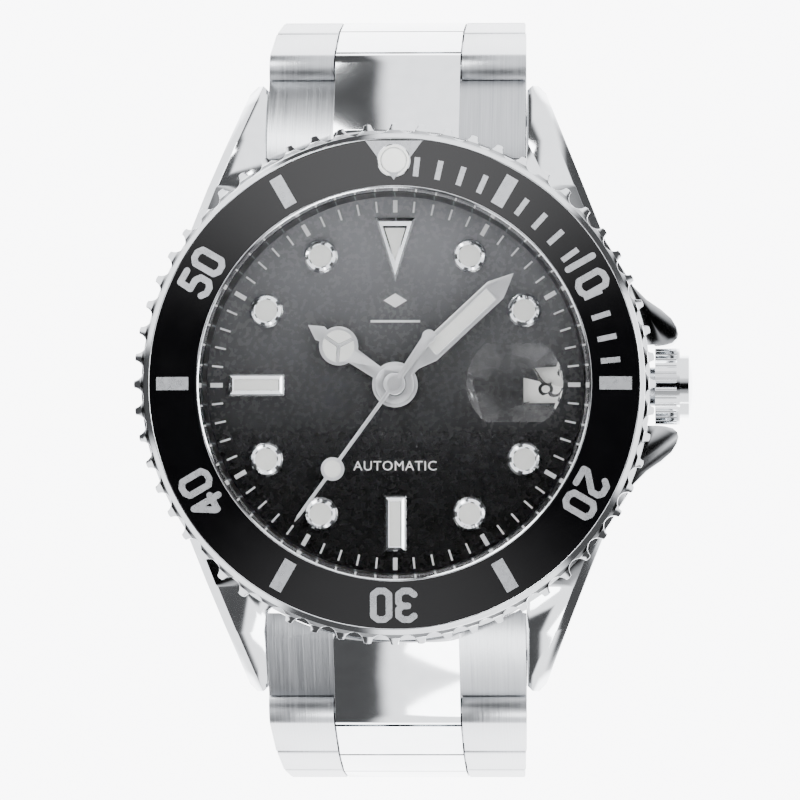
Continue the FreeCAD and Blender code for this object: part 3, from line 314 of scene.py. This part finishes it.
# ---- meshes ------------------------------------------------------------------------------
def shown(name, mesh, finishes, body, replaces=()):
    """Links a finished mesh as a piece that rides on a body."""
    piece = bpy.data.objects.new(name, mesh)
    bpy.context.scene.collection.objects.link(piece)
    mesh.materials.clear()
    for each in finishes:
        mesh.materials.append(finish_named(each))
    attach(piece, body)
    if replaces:
        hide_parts(*replaces)
    return piece


def body_of_node(node):
    for body, nodes in frame["record"]["behaviour"]["bodies"].items():
        if node in nodes:
            return body
    raise RuntimeError("no body holds " + node)


def refined(node, finishes, width_mm, pick=None, segments=2, angle=28):
    """A merged copy of a CAD node with rounded edges; pick gives a face's material from its centre."""
    source = frame["nodes"][node]
    mesh = source.data.copy()
    work = bmesh.new()
    work.from_mesh(mesh)
    bmesh.ops.remove_doubles(work, verts=work.verts, dist=WELD)
    bmesh.ops.dissolve_limit(work, angle_limit=math.radians(1.0), verts=work.verts, edges=work.edges)
    work.to_mesh(mesh)
    work.free()
    holder = bpy.data.objects.new(node + "_work", mesh)
    bpy.context.scene.collection.objects.link(holder)
    if width_mm:
        bevel = holder.modifiers.new("edges", "BEVEL")
        bevel.width = width_mm * MM
        bevel.segments = segments
        bevel.limit_method = "ANGLE"
        bevel.angle_limit = math.radians(angle)
        bevel.harden_normals = False
    graph = bpy.context.evaluated_depsgraph_get()
    result = bpy.data.meshes.new_from_object(holder.evaluated_get(graph))
    bpy.data.objects.remove(holder)
    smooth(result, 32)
    piece = shown(node + "_finished", result, finishes, body_of_node(node), (node,))
    if pick:
        for face in result.polygons:
            face.material_index = pick(face.center)
    return piece


def smooth(mesh, degrees):
    """Smooth shading with creases at sharp edges."""
    mesh.polygons.foreach_set("use_smooth", [True] * len(mesh.polygons))
    mesh.set_sharp_from_angle(angle=math.radians(degrees))


def face_matrix(radius, clockwise, height, slope=0.0, spin=0.0):
    """Places a flat mark, drawn in XY with its top along +Y, at a clock angle with its top outwards."""
    stand = Matrix.Rotation(math.pi / 2, 4, "X")
    turn = Matrix.Rotation(clockwise, 4, "Y")
    return (turn @ Matrix.Translation((0, -height, radius)) @ Matrix.Rotation(-slope, 4, "X") @ stand
            @ Matrix.Rotation(spin, 4, "Z"))


def outline_prism(points, thick):
    """Closed flat prism from an outline in XY, its base at z = 0."""
    work = bmesh.new()
    base = work.faces.new([work.verts.new((x, y, 0)) for x, y in points])
    grown = bmesh.ops.extrude_face_region(work, geom=[base])
    top = [item for item in grown["geom"] if isinstance(item, bmesh.types.BMVert)]
    bmesh.ops.translate(work, verts=top, vec=(0, 0, thick))
    bmesh.ops.recalc_face_normals(work, faces=work.faces)
    return mesh_from(work, "prism")


def mesh_from(work, name):
    """The mesh of a BMesh, which is freed."""
    mesh = bpy.data.meshes.new(name)
    work.to_mesh(mesh)
    work.free()
    return mesh


def rectangle(width, height):
    """Outline of a bar, centred."""
    return [(-width / 2, -height / 2), (width / 2, -height / 2), (width / 2, height / 2),
            (-width / 2, height / 2)]


def circle(radius, steps, x=0, y=0):
    """Outline of a circle."""
    turns = [2 * math.pi * i / steps for i in range(steps)]
    return [(x + radius * math.cos(turn), y + radius * math.sin(turn)) for turn in turns]


def join(meshes):
    """One mesh from (mesh, matrix) pairs."""
    work = bmesh.new()
    for mesh, matrix in meshes:
        copy = mesh.copy()
        copy.transform(matrix)
        work.from_mesh(copy)
        bpy.data.meshes.remove(copy)
    return mesh_from(work, "joined")


def curve_mesh(curve):
    """The mesh of a curve or text with no object left behind."""
    holder = bpy.data.objects.new("curve_work", curve)
    bpy.context.scene.collection.objects.link(holder)
    graph = bpy.context.evaluated_depsgraph_get()
    graph.update()
    mesh = bpy.data.meshes.new_from_object(holder.evaluated_get(graph))
    bpy.data.objects.remove(holder)
    return mesh


def lettering(text, size, thick, spacing=1.0):
    curve = bpy.data.curves.new("lettering", "FONT")
    curve.body = text
    curve.size = size
    curve.extrude = thick / 2
    curve.align_x = "CENTER"
    curve.align_y = "CENTER"
    curve.space_character = spacing
    curve.resolution_u = 3
    return curve_mesh(curve)


# Strokes of numerals with cut corners, on a grid one unit wide and two high.
STROKES = {
    "0": [[(0.3, 0), (0.7, 0), (1, 0.25), (1, 1.75), (0.7, 2), (0.3, 2), (0, 1.75), (0, 0.25), (0.3, 0)]],
    "1": [[(0.6, 0), (0.6, 2)]],
    "2": [[(0, 1.7), (0.25, 2), (0.75, 2), (1, 1.75), (1, 1.25), (0, 0.3), (0, 0), (1, 0)]],
    "3": [[(0, 1.75), (0.3, 2), (0.7, 2), (1, 1.75), (1, 1.3), (0.75, 1.05), (1, 0.8), (1, 0.25), (0.7, 0),
           (0.3, 0), (0, 0.25)], [(0.4, 1.05), (0.75, 1.05)]],
    "4": [[(0.75, 0), (0.75, 2), (0, 0.7), (0, 0.55), (1, 0.55)]],
    "5": [[(0.95, 2), (0.1, 2), (0.05, 1.15), (0.7, 1.15), (1, 0.9), (1, 0.25), (0.7, 0), (0.3, 0),
           (0, 0.25)]],
}


def numeral(text, width, height, stroke, thick):
    """Bar numerals, centred: every stroke is a flat bar with round ends, each a hair above the last."""
    step = width + 1.45 * stroke
    meshes = []
    for place, letter in enumerate(text):
        left = (place - (len(text) - 1) / 2) * step - width / 2
        for line in STROKES[letter]:
            for (x1, y1), (x2, y2) in zip(line, line[1:]):
                start = Vector((left + x1 * width, (y1 - 1) * height / 2))
                end = Vector((left + x2 * width, (y2 - 1) * height / 2))
                rise = 1 + 0.04 * len(meshes)
                meshes.append((capsule(start, end, stroke / 2, thick * rise), Matrix()))
    return join(meshes)


def capsule(start, end, radius, thick, steps=6):
    """Flat bar with round ends between two points of XY."""
    along = math.atan2(end.y - start.y, end.x - start.x)
    points = []
    for centre, first in ((end, along - math.pi / 2), (start, along + math.pi / 2)):
        for index in range(steps + 1):
            angle = first + math.pi * index / steps
            points.append((centre.x + radius * math.cos(angle), centre.y + radius * math.sin(angle)))
    return outline_prism(points, thick)


# ---- rings of ticks ----------------------------------------------------------------------
def tick_tree():
    """Geometry Nodes tree: bars round a dial, clockwise from 12; Tilt leans their outer ends forwards."""
    tree = bpy.data.node_groups.new("ring_of_ticks", "GeometryNodeTree")
    faces = tree.interface
    faces.new_socket("Geometry", in_out="OUTPUT", socket_type="NodeSocketGeometry")
    sizes = {}
    inputs = (("Count", "Int"), ("Radius", "Float"), ("Length", "Float"), ("Width", "Float"),
              ("Thickness", "Float"), ("Tilt", "Float"), ("Height", "Float"), ("Skip Every", "Int"),
              ("Last", "Int"), ("Material", "Material"))
    for name, kind in inputs:
        sizes[name] = faces.new_socket(name, in_out="INPUT", socket_type="NodeSocket" + kind).identifier
    given = add(tree, "NodeGroupInput").outputs
    index = add(tree, "GeometryNodeInputIndex").outputs[0]
    line = add(tree, "GeometryNodeMeshLine", None, Count=given["Count"])
    part = add(tree, "ShaderNodeMath", {"operation": "DIVIDE"}, i0=index, i1=given["Count"])
    turn = add(tree, "ShaderNodeMath", {"operation": "MULTIPLY"}, i0=part.outputs[0])
    turn.inputs[1].default_value = 2 * math.pi
    sine = add(tree, "ShaderNodeMath", {"operation": "SINE"}, i0=turn.outputs[0])
    cosine = add(tree, "ShaderNodeMath", {"operation": "COSINE"}, i0=turn.outputs[0])
    flat = add(tree, "ShaderNodeCombineXYZ", None, X=sine.outputs[0], Z=cosine.outputs[0])
    reach = add(tree, "ShaderNodeVectorMath", {"operation": "SCALE"}, i0=flat.outputs[0],
                Scale=given["Radius"])
    back = add(tree, "ShaderNodeMath", {"operation": "MULTIPLY"}, i0=given["Height"])
    back.inputs[1].default_value = -1.0
    lift = add(tree, "ShaderNodeCombineXYZ", None, Y=back.outputs[0])
    spot = add(tree, "ShaderNodeVectorMath", {"operation": "ADD"}, i0=reach.outputs[0], i1=lift.outputs[0])
    moved = add(tree, "GeometryNodeSetPosition", None, Geometry=line.outputs[0], Position=spot.outputs[0])
    left = add(tree, "ShaderNodeMath", {"operation": "MODULO"}, i0=index, i1=given["Skip Every"])
    whole = add(tree, "FunctionNodeCompare", {"data_type": "FLOAT", "operation": "EQUAL"}, i0=left.outputs[0])
    skip = add(tree, "FunctionNodeCompare", {"data_type": "INT", "operation": "GREATER_THAN"},
               i2=given["Skip Every"])
    both = add(tree, "FunctionNodeBooleanMath", {"operation": "AND"}, i0=whole.outputs[0], i1=skip.outputs[0])
    late = add(tree, "FunctionNodeCompare", {"data_type": "INT", "operation": "GREATER_THAN"},
               i2=index, i3=given["Last"])
    gone = add(tree, "FunctionNodeBooleanMath", {"operation": "OR"}, i0=both.outputs[0], i1=late.outputs[0])
    kept = add(tree, "FunctionNodeBooleanMath", {"operation": "NOT"}, i0=gone.outputs[0])
    size = add(tree, "ShaderNodeCombineXYZ", None, X=given["Width"], Y=given["Thickness"], Z=given["Length"])
    bar = add(tree, "GeometryNodeMeshCube", None, Size=size.outputs[0])
    facing = add(tree, "ShaderNodeCombineXYZ", None, X=given["Tilt"], Y=turn.outputs[0])
    placed = add(tree, "GeometryNodeInstanceOnPoints", None, Points=moved.outputs[0],
                 Selection=kept.outputs[0], Instance=bar.outputs[0], Rotation=facing.outputs[0])
    real = add(tree, "GeometryNodeRealizeInstances", None, Geometry=placed.outputs[0])
    done = add(tree, "GeometryNodeSetMaterial", None, Geometry=real.outputs[0], Material=given["Material"])
    add(tree, "NodeGroupOutput", None, Geometry=done.outputs[0])
    return tree, sizes


TICKS = []


def ticks(name, finish, body, **values):
    """A ring of ticks as a plain mesh piece; sizes in millimetres."""
    if not TICKS:
        TICKS.append(tick_tree())
    tree, sockets = TICKS[0]
    holder = bpy.data.objects.new(name + "_work", bpy.data.meshes.new(name + "_work"))
    bpy.context.scene.collection.objects.link(holder)
    maker = holder.modifiers.new("ticks", "NODES")
    maker.node_group = tree
    settings = {"Skip Every": 0, "Last": RING, "Tilt": 0.0, "Count": RING}
    settings.update(values)
    for key, value in settings.items():
        maker[sockets[key]] = value if isinstance(value, int) or key == "Tilt" else value * MM
    maker[sockets["Material"]] = finish_named(finish)
    graph = bpy.context.evaluated_depsgraph_get()
    mesh = bpy.data.meshes.new_from_object(holder.evaluated_get(graph))
    bpy.data.objects.remove(holder)
    return shown(name, mesh, [finish], body)


# ---- settings a user would change --------------------------------------------------------
class WristwatchSettings(bpy.types.PropertyGroup):
    """Colours and sizes of the watch's finishes."""

    steel: StringProperty(name="Polished steel", description="Light tone of the polished steel",
                          default="DDDFE1")
    steel_dark: StringProperty(name="Polished steel, dark", description="Darker tone of the polished steel",
                               default="C9CCCF")
    brushed: StringProperty(name="Brushed steel", description="Light tone of the brushed grain",
                            default="B4B6B9")
    brushed_dark: StringProperty(name="Brushed steel, dark", description="Dark tone of the brushed grain",
                                 default="85888B")
    insert: StringProperty(name="Insert", description="Black of the bezel insert", default="030304")
    # the grey at 12 o'clock is a painted reflection on the black dial, not the dial's own colour
    dial_high: StringProperty(name="Dial at 12", description="Dial colour near 12 o'clock", default="8E8F92")
    dial_low: StringProperty(name="Dial at 6", description="Dial colour near 6 o'clock", default="020203")
    lume: StringProperty(name="Lume", description="Luminous paint by day", default="EDEFEA")
    case_edge: FloatProperty(name="Case edge", description="Rounding of the case's edges, in millimetres",
                             default=0.12, min=0.0, max=0.5)
    link_edge: FloatProperty(name="Link edge", description="Rounding of the link's edges, in millimetres",
                             default=0.22, min=0.0, max=0.5)
    camera_distance: FloatProperty(name="Camera distance", description="From the dial to the camera",
                                   default=0.6, unit="LENGTH")


# ---- operators ---------------------------------------------------------------------------
class WRISTWATCH_OT_case(bpy.types.Operator):
    """Finishes the middle case, its back, the crown and the tube"""

    bl_idname = "wristwatch.case"
    bl_label = "Case and crown"

    def execute(self, context):
        edge = context.scene.wristwatch.case_edge
        refined("mid_case", ["polished"], edge)
        refined("case_back", ["brushed"], 0.1)
        for node, finish in (("crown", "polished"), ("crown_tube", "machined"), ("winding_stem", "machined"),
                             ("spring_bars", "machined"),
                             ("case_back_gasket", "seal"), ("bezel_click_spring", "machined")):
            paint(node, finish)
        return {"FINISHED"}


def paint(node, finish):
    """Gives a CAD node its finish and leaves its mesh alone."""
    mesh = frame["nodes"][node].data
    mesh.materials.clear()
    mesh.materials.append(finish_named(finish))


class WRISTWATCH_OT_glass(bpy.types.Operator):
    """Clears the crystal, the magnifier on its film of cement, and the glass of the back"""

    bl_idname = "wristwatch.glass"
    bl_label = "Glass"

    def execute(self, context):
        paint("crystal", "sapphire")
        work = bmesh.new()
        work.from_mesh(frame["nodes"]["date_magnifier"].data)
        bmesh.ops.remove_doubles(work, verts=work.verts, dist=WELD)
        foot = max(vert.co.y for vert in work.verts)
        for vert in work.verts:
            if vert.co.y > foot - 0.05 * MM:
                vert.co.y -= 0.01 * MM
        lens = mesh_from(work, "magnifier_lens")
        smooth(lens, 25)
        shown("magnifier_lens", lens, ["sapphire"], "root", ("date_magnifier",))
        paint("case_back_glass", "sapphire")
        return {"FINISHED"}


class WRISTWATCH_OT_bezel(bpy.types.Operator):
    """Finishes the turning bezel and its insert, and adds the silver scale"""

    bl_idname = "wristwatch.bezel"
    bl_label = "Bezel"

    def execute(self, context):
        refined("bezel", ["polished"], 0.08)
        paint("bezel_insert", "ceramic")
        low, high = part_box("bezel_insert")
        outer = high[0] / MM
        top = -low[1] / MM
        slope = math.atan(INSERT_DROP / (outer - INSERT_BORE))
        marks = []
        thick = SCALE_PROUD * MM

        def surface(radius):
            return top - INSERT_DROP * (radius - INSERT_BORE) / (outer - INSERT_BORE)

        def place(radius, minute):
            return face_matrix(radius * MM, math.radians(6 * minute), (surface(radius) - SINK) * MM, slope)

        for minute in range(10, RING, 10):
            mark = numeral(str(minute), 1.2 * MM, 2.2 * MM, 0.5 * MM, thick)
            marks.append((mark, place(SCALE_RADIUS, minute)))
        for minute in range(5, RING, 10):
            baton = outline_prism(rectangle(*(size * MM for size in BEZEL_BATON)), thick)
            marks.append((baton, place(SCALE_RADIUS, minute)))
        corners = [(-2.18 * MM, 1.55 * MM), (0, -1.5 * MM), (2.18 * MM, 1.55 * MM)]
        marks.append((outline_prism(corners, thick), place(PEARL_RADIUS, 0)))
        shown("bezel_scale", join(marks), ["scale"], "bezel")
        ticks("bezel_minutes", "scale", "bezel", Radius=BEZEL_TICK_RADIUS, Length=1.5, Width=0.42,
              Thickness=0.06, Height=surface(BEZEL_TICK_RADIUS), Tilt=-slope,
              **{"Skip Every": 5, "Last": 14})
        pearl = refined("bezel_pearl", ["lume", "polished"], 0.1, pearl_material)
        pearl.data.update()
        return {"FINISHED"}


def pearl_material(centre):
    """Metal on the setting's ring, lume inside it."""
    return 1 if math.hypot(centre.x, centre.z - PEARL_RADIUS * MM) > PEARL_LUME * MM else 0


class WRISTWATCH_OT_dial(bpy.types.Operator):
    """Finishes the dial with its printing, the chapter ring, the applied markers and the date disc"""

    bl_idname = "wristwatch.dial"
    bl_label = "Dial"

    def execute(self, context):
        paint("dial", "dial")
        paint("chapter_ring", "black_ring")
        paint("marker_fillings", "lume")
        face = -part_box("dial")[0][1] / MM
        frames = [(frame_mesh(*pair, face), Matrix()) for pair in marker_outlines()]
        shown("marker_frames_bevelled", join(frames), ["polished"], "root",
              ("marker_frames",))
        ticks("dial_minutes", "ink", "root", Radius=TRACK_RADIUS, Length=0.85, Width=0.14, Thickness=0.02,
              Height=face, **{"Skip Every": 5})
        ticks("dial_hours", "ink", "root", Radius=TRACK_RADIUS, Length=0.95, Width=0.34, Thickness=0.02,
              Height=face, Count=12)
        # the chapter ring's wall rises 2.2 mm while it widens by 0.25 mm
        ticks("chapter_minutes", "grey_ink", "root", Radius=14.61, Length=1.6, Width=0.1, Thickness=0.03,
              Height=9.6, Tilt=math.atan2(2.2, 0.25))
        word = lettering("AUTOMATIC", 1.05 * MM, INK, 1.08)
        emblem = outline_prism([(-0.9 * MM, 0), (0, -0.55 * MM), (0.9 * MM, 0), (0, 0.55 * MM)], INK)
        bar = outline_prism(rectangle(3.8 * MM, 0.18 * MM), INK)
        ink = [(mark, flat_matrix(0, z, face)) for mark, z in ((word, -6.25), (emblem, 6.5), (bar, 4.9))]
        shown("dial_printing", join(ink), ["ink"], "root")
        paint("date_ring", "disc")
        disc_face = -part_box("date_ring")[0][1]
        digits = []
        for day in range(1, DAYS + 1):
            angle = (day - SHOWN_DAY) * 2 * math.pi / DAYS + math.pi / 2
            digits.append((lettering(str(day), 2.3 * MM, INK, 0.85),
                           face_matrix(DATE_RADIUS * MM, angle, disc_face, 0.0, math.pi / 2)))
        shown("date_digits", join(digits), ["digits"], "date")
        return {"FINISHED"}


def marker_outlines():
    """Outer and inner outlines, as (x, z) in millimetres, of each applied marker."""
    pairs = []
    for hour in (1, 2, 4, 5, 7, 8, 10, 11):
        angle = math.radians(30 * hour)
        x, z = ROUND_MARKER_PLACE * math.sin(angle), ROUND_MARKER_PLACE * math.cos(angle)
        pairs.append([circle(radius, MARKER_STEPS, x, z) for radius in ROUND_MARKER_RADII])
    length, width = BATON_SIZE
    for x, z, wide, high in ((0, -BATON_PLACE, width, length), (-BATON_PLACE, 0, length, width)):
        pairs.append([[(x + dx, z + dz) for dx, dz in rectangle(wide - 2 * inset, high - 2 * inset)]
                      for inset in (0, BATON_FRAME)])
    point = TRIANGLE_TOP - TRIANGLE_HEIGHT
    outer = [(-TRIANGLE_HALF, TRIANGLE_TOP), (0, point), (TRIANGLE_HALF, TRIANGLE_TOP)]
    middle = TRIANGLE_TOP - TRIANGLE_HEIGHT / 3
    pairs.append((outer, [(TRIANGLE_WELL * x, middle + TRIANGLE_WELL * (z - middle)) for x, z in outer]))
    return pairs


def frame_mesh(outer, inner, face):
    """Applied frame: upright at its foot, then a wide bevel that rises to the filling."""
    work = bmesh.new()
    rings = []
    # how far in from the outer outline, as a share of the frame's width, and how high in millimetres
    for share, height in ((0.0, 0.0), (0.0, 0.16), (0.35, 0.4), (0.8, 0.5), (1.0, 0.47), (1.0, 0.0)):
        rings.append([work.verts.new(((x1 + share * (x2 - x1)) * MM, -(face + height) * MM,
                                      (z1 + share * (z2 - z1)) * MM))
                      for (x1, z1), (x2, z2) in zip(outer, inner)])
    for first, second in zip(rings, rings[1:] + rings[:1]):
        for index, corner in enumerate(first):
            after = (index + 1) % len(first)
            work.faces.new((corner, first[after], second[after], second[index]))
    bmesh.ops.recalc_face_normals(work, faces=work.faces)
    mesh = mesh_from(work, "frame")
    smooth(mesh, 24)
    return mesh


def flat_matrix(x, z, height):
    """Stands a mark drawn in XY on the dial at a place in millimetres."""
    return Matrix.Translation((x * MM, -height * MM, z * MM)) @ Matrix.Rotation(math.pi / 2, 4, "X")


class WRISTWATCH_OT_hands(bpy.types.Operator):
    """Finishes the three hands and fills them with lume"""

    bl_idname = "wristwatch.hands"
    bl_label = "Hands"

    def execute(self, context):
        for node in ("hour_hand", "minute_hand", "second_hand"):
            refined(node, ["satin"], 0.06)
        thick = 0.12 * MM
        base = 0.06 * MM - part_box("hour_hand")[1][1]
        wells = []
        for start in (0, 120, 240):
            well = sector(1.22 * MM, 0.12 * MM, math.radians(start + 96), math.radians(start + 204), thick)
            wells.append((well, face_matrix(HOUR_RING * MM, HOUR_ANGLE, base)))
        shown("hour_hand_lume", join(wells), ["lume"], "hour")
        slot_shape = outline_prism(rectangle(1.04 * MM, 6.2 * MM), thick)
        slot_shape.transform(face_matrix(MINUTE_SLOT * MM, MINUTE_ANGLE,
                                         0.05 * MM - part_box("minute_hand")[1][1]))
        shown("minute_hand_lume", slot_shape, ["lume"], "minute")
        top = -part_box("second_hand")[0][1] - 0.01 * MM
        disc = round_plate(0.66 * MM, 0.05 * MM)
        disc.transform(face_matrix(SECOND_DISC * MM, SECOND_ANGLE, top))
        shown("second_hand_lume", disc, ["lume"], "second")
        cap = round_plate(0.55 * MM, 0.12 * MM)
        cap.transform(face_matrix(0, SECOND_ANGLE, top))
        shown("second_hand_cap", cap, ["satin"], "second")
        return {"FINISHED"}


def sector(outer, inset, first, last, thick):
    """Pie slice whose straight sides stay clear of the spokes."""
    middle = (first + last) / 2
    points = [(inset * 1.4 * math.cos(middle), inset * 1.4 * math.sin(middle))]
    steps = 10
    for index in range(steps + 1):
        angle = first + (last - first) * index / steps
        points.append((outer * math.cos(angle), outer * math.sin(angle)))
    return outline_prism(points, thick)


def round_plate(radius, thick):
    return outline_prism(circle(radius, 40), thick)


class WRISTWATCH_OT_movement(bpy.types.Operator):
    """Finishes every piece of the movement behind the display back"""

    bl_idname = "wristwatch.movement"
    bl_label = "Movement"

    def execute(self, context):
        finishes = {
            "rhodium": ("main_plate", "train_bridge", "balance_cock"),
            "gilt": ("barrel", "centre_wheel", "third_wheel", "fourth_wheel", "minute_wheel", "hour_wheel",
                     "balance_wheel"),
            "machined": ("escape_wheel", "pallet_fork", "hairspring", "cannon_pinion", "winding_pinion",
                         "movement_screws"),
            "ruby": ("jewels",),
            "resin": ("movement_holder",),
        }
        for finish, nodes in finishes.items():
            for node in nodes:
                paint(node, finish)
        refined("rotor", ["rhodium"], 0.08)
        return {"FINISHED"}


class WRISTWATCH_OT_bracelet(bpy.types.Operator):
    """Finishes the end links, the bracelet and the clasp: brushed outside, polished in the middle row"""

    bl_idname = "wristwatch.bracelet"
    bl_label = "Bracelet and clasp"

    def execute(self, context):
        edge = context.scene.wristwatch.link_edge
        for side in ("12", "6"):
            refined("end_link_" + side, ["brushed", "polished"], edge, middle_row)
            for index in range(1, BRACELET_LINKS + 1):
                refined("link_%s_%d" % (side, index), ["brushed", "polished"], edge, middle_row)
        refined("clasp_cover", ["brushed"], 0.2)
        for node, width in (("blade_long", 0.1), ("blade_short", 0.1), ("button_right", 0.12),
                            ("button_left", 0.12)):
            refined("clasp_" + node, ["polished"], width)
        return {"FINISHED"}


def middle_row(centre):
    """Polished steel in the middle row, brushed outside it."""
    return 1 if abs(centre.x) < MIDDLE_ROW_HALF * MM else 0


class WRISTWATCH_OT_stage(bpy.types.Operator):
    """Sets a white studio with a dark gap round the camera, soft lamps and the camera in front of the dial"""

    bl_idname = "wristwatch.stage"
    bl_label = "Stage"

    def execute(self, context):
        distance = context.scene.wristwatch.camera_distance
        target = Vector((0.00035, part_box("dial")[0][1], -0.00114))
        azimuth = math.radians(2.0)
        elevation = math.radians(-2.2)
        aim = Vector((math.sin(azimuth) * math.cos(elevation), -math.cos(azimuth) * math.cos(elevation),
                      math.sin(elevation)))
        camera_data = bpy.data.cameras.new("camera")
        view_width = 0.0615
        camera_data.sensor_width = 36.0
        camera_data.lens = camera_data.sensor_width * distance / view_width
        camera_data.clip_start = 0.01
        camera_data.clip_end = 20.0
        camera = bpy.data.objects.new("camera", camera_data)
        camera.location = target + aim * distance
        camera.rotation_euler = (-aim).to_track_quat("-Z", "Y").to_euler()
        context.scene.collection.objects.link(camera)
        context.scene.camera = camera
        lamps = (("key", 6.0, 0.35, (-0.35, -0.35, 0.6)), ("side", 3.0, 0.3, (0.6, -0.3, 0.1)),
                 ("low", 3.0, 0.3, (0.2, -0.35, -0.6)))
        for name, power, size, place in lamps:
            light = bpy.data.lights.new(name, "AREA")
            light.energy = power
            light.size = size
            lamp = bpy.data.objects.new(name, light)
            lamp.location = place
            lamp.rotation_euler = (-Vector(place)).to_track_quat("-Z", "Y").to_euler()
            context.scene.collection.objects.link(lamp)
        context.scene.world = studio_world()
        return {"FINISHED"}


def ranged(tree, source, from_low, from_high, to_low, to_high):
    """Smooth step of a value from one range to another."""
    return add(tree, "ShaderNodeMapRange", {"interpolation_type": "SMOOTHSTEP", "@From Min": from_low,
                                            "@From Max": from_high, "@To Min": to_low, "@To Max": to_high},
               Value=source).outputs[0]


def combined(tree, operation, first, second):
    node = add(tree, "ShaderNodeMath", {"operation": operation})
    for socket, value in zip(node.inputs, (first, second)):
        if isinstance(value, float):
            socket.default_value = value
        else:
            tree.links.new(value, socket)
    return node.outputs[0]


def studio_world():
    """White behind the watch, white panels with black gaps round it, and a dark cone towards the camera."""
    world = bpy.data.worlds.new("studio")
    world.use_nodes = True
    tree = world.node_tree
    direction = add(tree, "ShaderNodeTexCoord").outputs["Generated"]
    x, y, z = add(tree, "ShaderNodeSeparateXYZ", None, Vector=direction).outputs
    before = ranged(tree, y, -0.93, -0.84, 0.0, 1.0)
    beside = combined(tree, "MULTIPLY", before, ranged(tree, y, 0.5, 0.8, 1.0, 0.0))
    angle = combined(tree, "ARCTAN2", x, z)
    lobes = combined(tree, "MULTIPLY", angle, 5.0)
    wave = add(tree, "ShaderNodeMath", {"operation": "SINE"}, i0=lobes).outputs[0]
    panels = combined(tree, "MULTIPLY", beside, ranged(tree, wave, -0.75, -0.35, 0.12, 3.2))
    above = ranged(tree, z, 0.12, 0.36, 0.0, 1.5)
    below = ranged(tree, z, -0.3, -0.14, 0.7, 0.0)
    glow = combined(tree, "MULTIPLY", combined(tree, "ADD", above, below),
                    ranged(tree, y, -0.93, -0.84, 1.0, 0.0))
    backdrop = ranged(tree, y, 0.5, 0.8, 0.0, 9.0)
    total = combined(tree, "ADD", combined(tree, "ADD", panels, glow), backdrop)
    background = tree.nodes["Background"]
    background.inputs[0].default_value = (0.98, 0.98, 1.0, 1)
    tree.links.new(total, background.inputs[1])
    return world


class WRISTWATCH_PT_panel(bpy.types.Panel):
    """Lists the steps in the 3D view's sidebar"""

    bl_idname = "WRISTWATCH_PT_panel"
    bl_label = "Wristwatch"
    bl_space_type = "VIEW_3D"
    bl_region_type = "UI"
    bl_category = "Wristwatch"

    def draw(self, context):
        for name in WristwatchSettings.__annotations__:
            self.layout.prop(context.scene.wristwatch, name)
        for step in STEPS:
            self.layout.operator(step.bl_idname)


STEPS = (WRISTWATCH_OT_stage, WRISTWATCH_OT_case, WRISTWATCH_OT_glass, WRISTWATCH_OT_bezel,
         WRISTWATCH_OT_dial, WRISTWATCH_OT_hands, WRISTWATCH_OT_movement, WRISTWATCH_OT_bracelet)


def register():
    for each in (WristwatchSettings, *STEPS, WRISTWATCH_PT_panel):
        bpy.utils.register_class(each)
    bpy.types.Scene.wristwatch = PointerProperty(type=WristwatchSettings)


def unregister():
    del bpy.types.Scene.wristwatch
    for each in (WRISTWATCH_PT_panel, *reversed(STEPS), WristwatchSettings):
        bpy.utils.unregister_class(each)


def main():
    register()
    for step in STEPS:
        group, name = step.bl_idname.split(".")
        getattr(getattr(bpy.ops, group), name)()


if __name__ == "__main__":
    main()
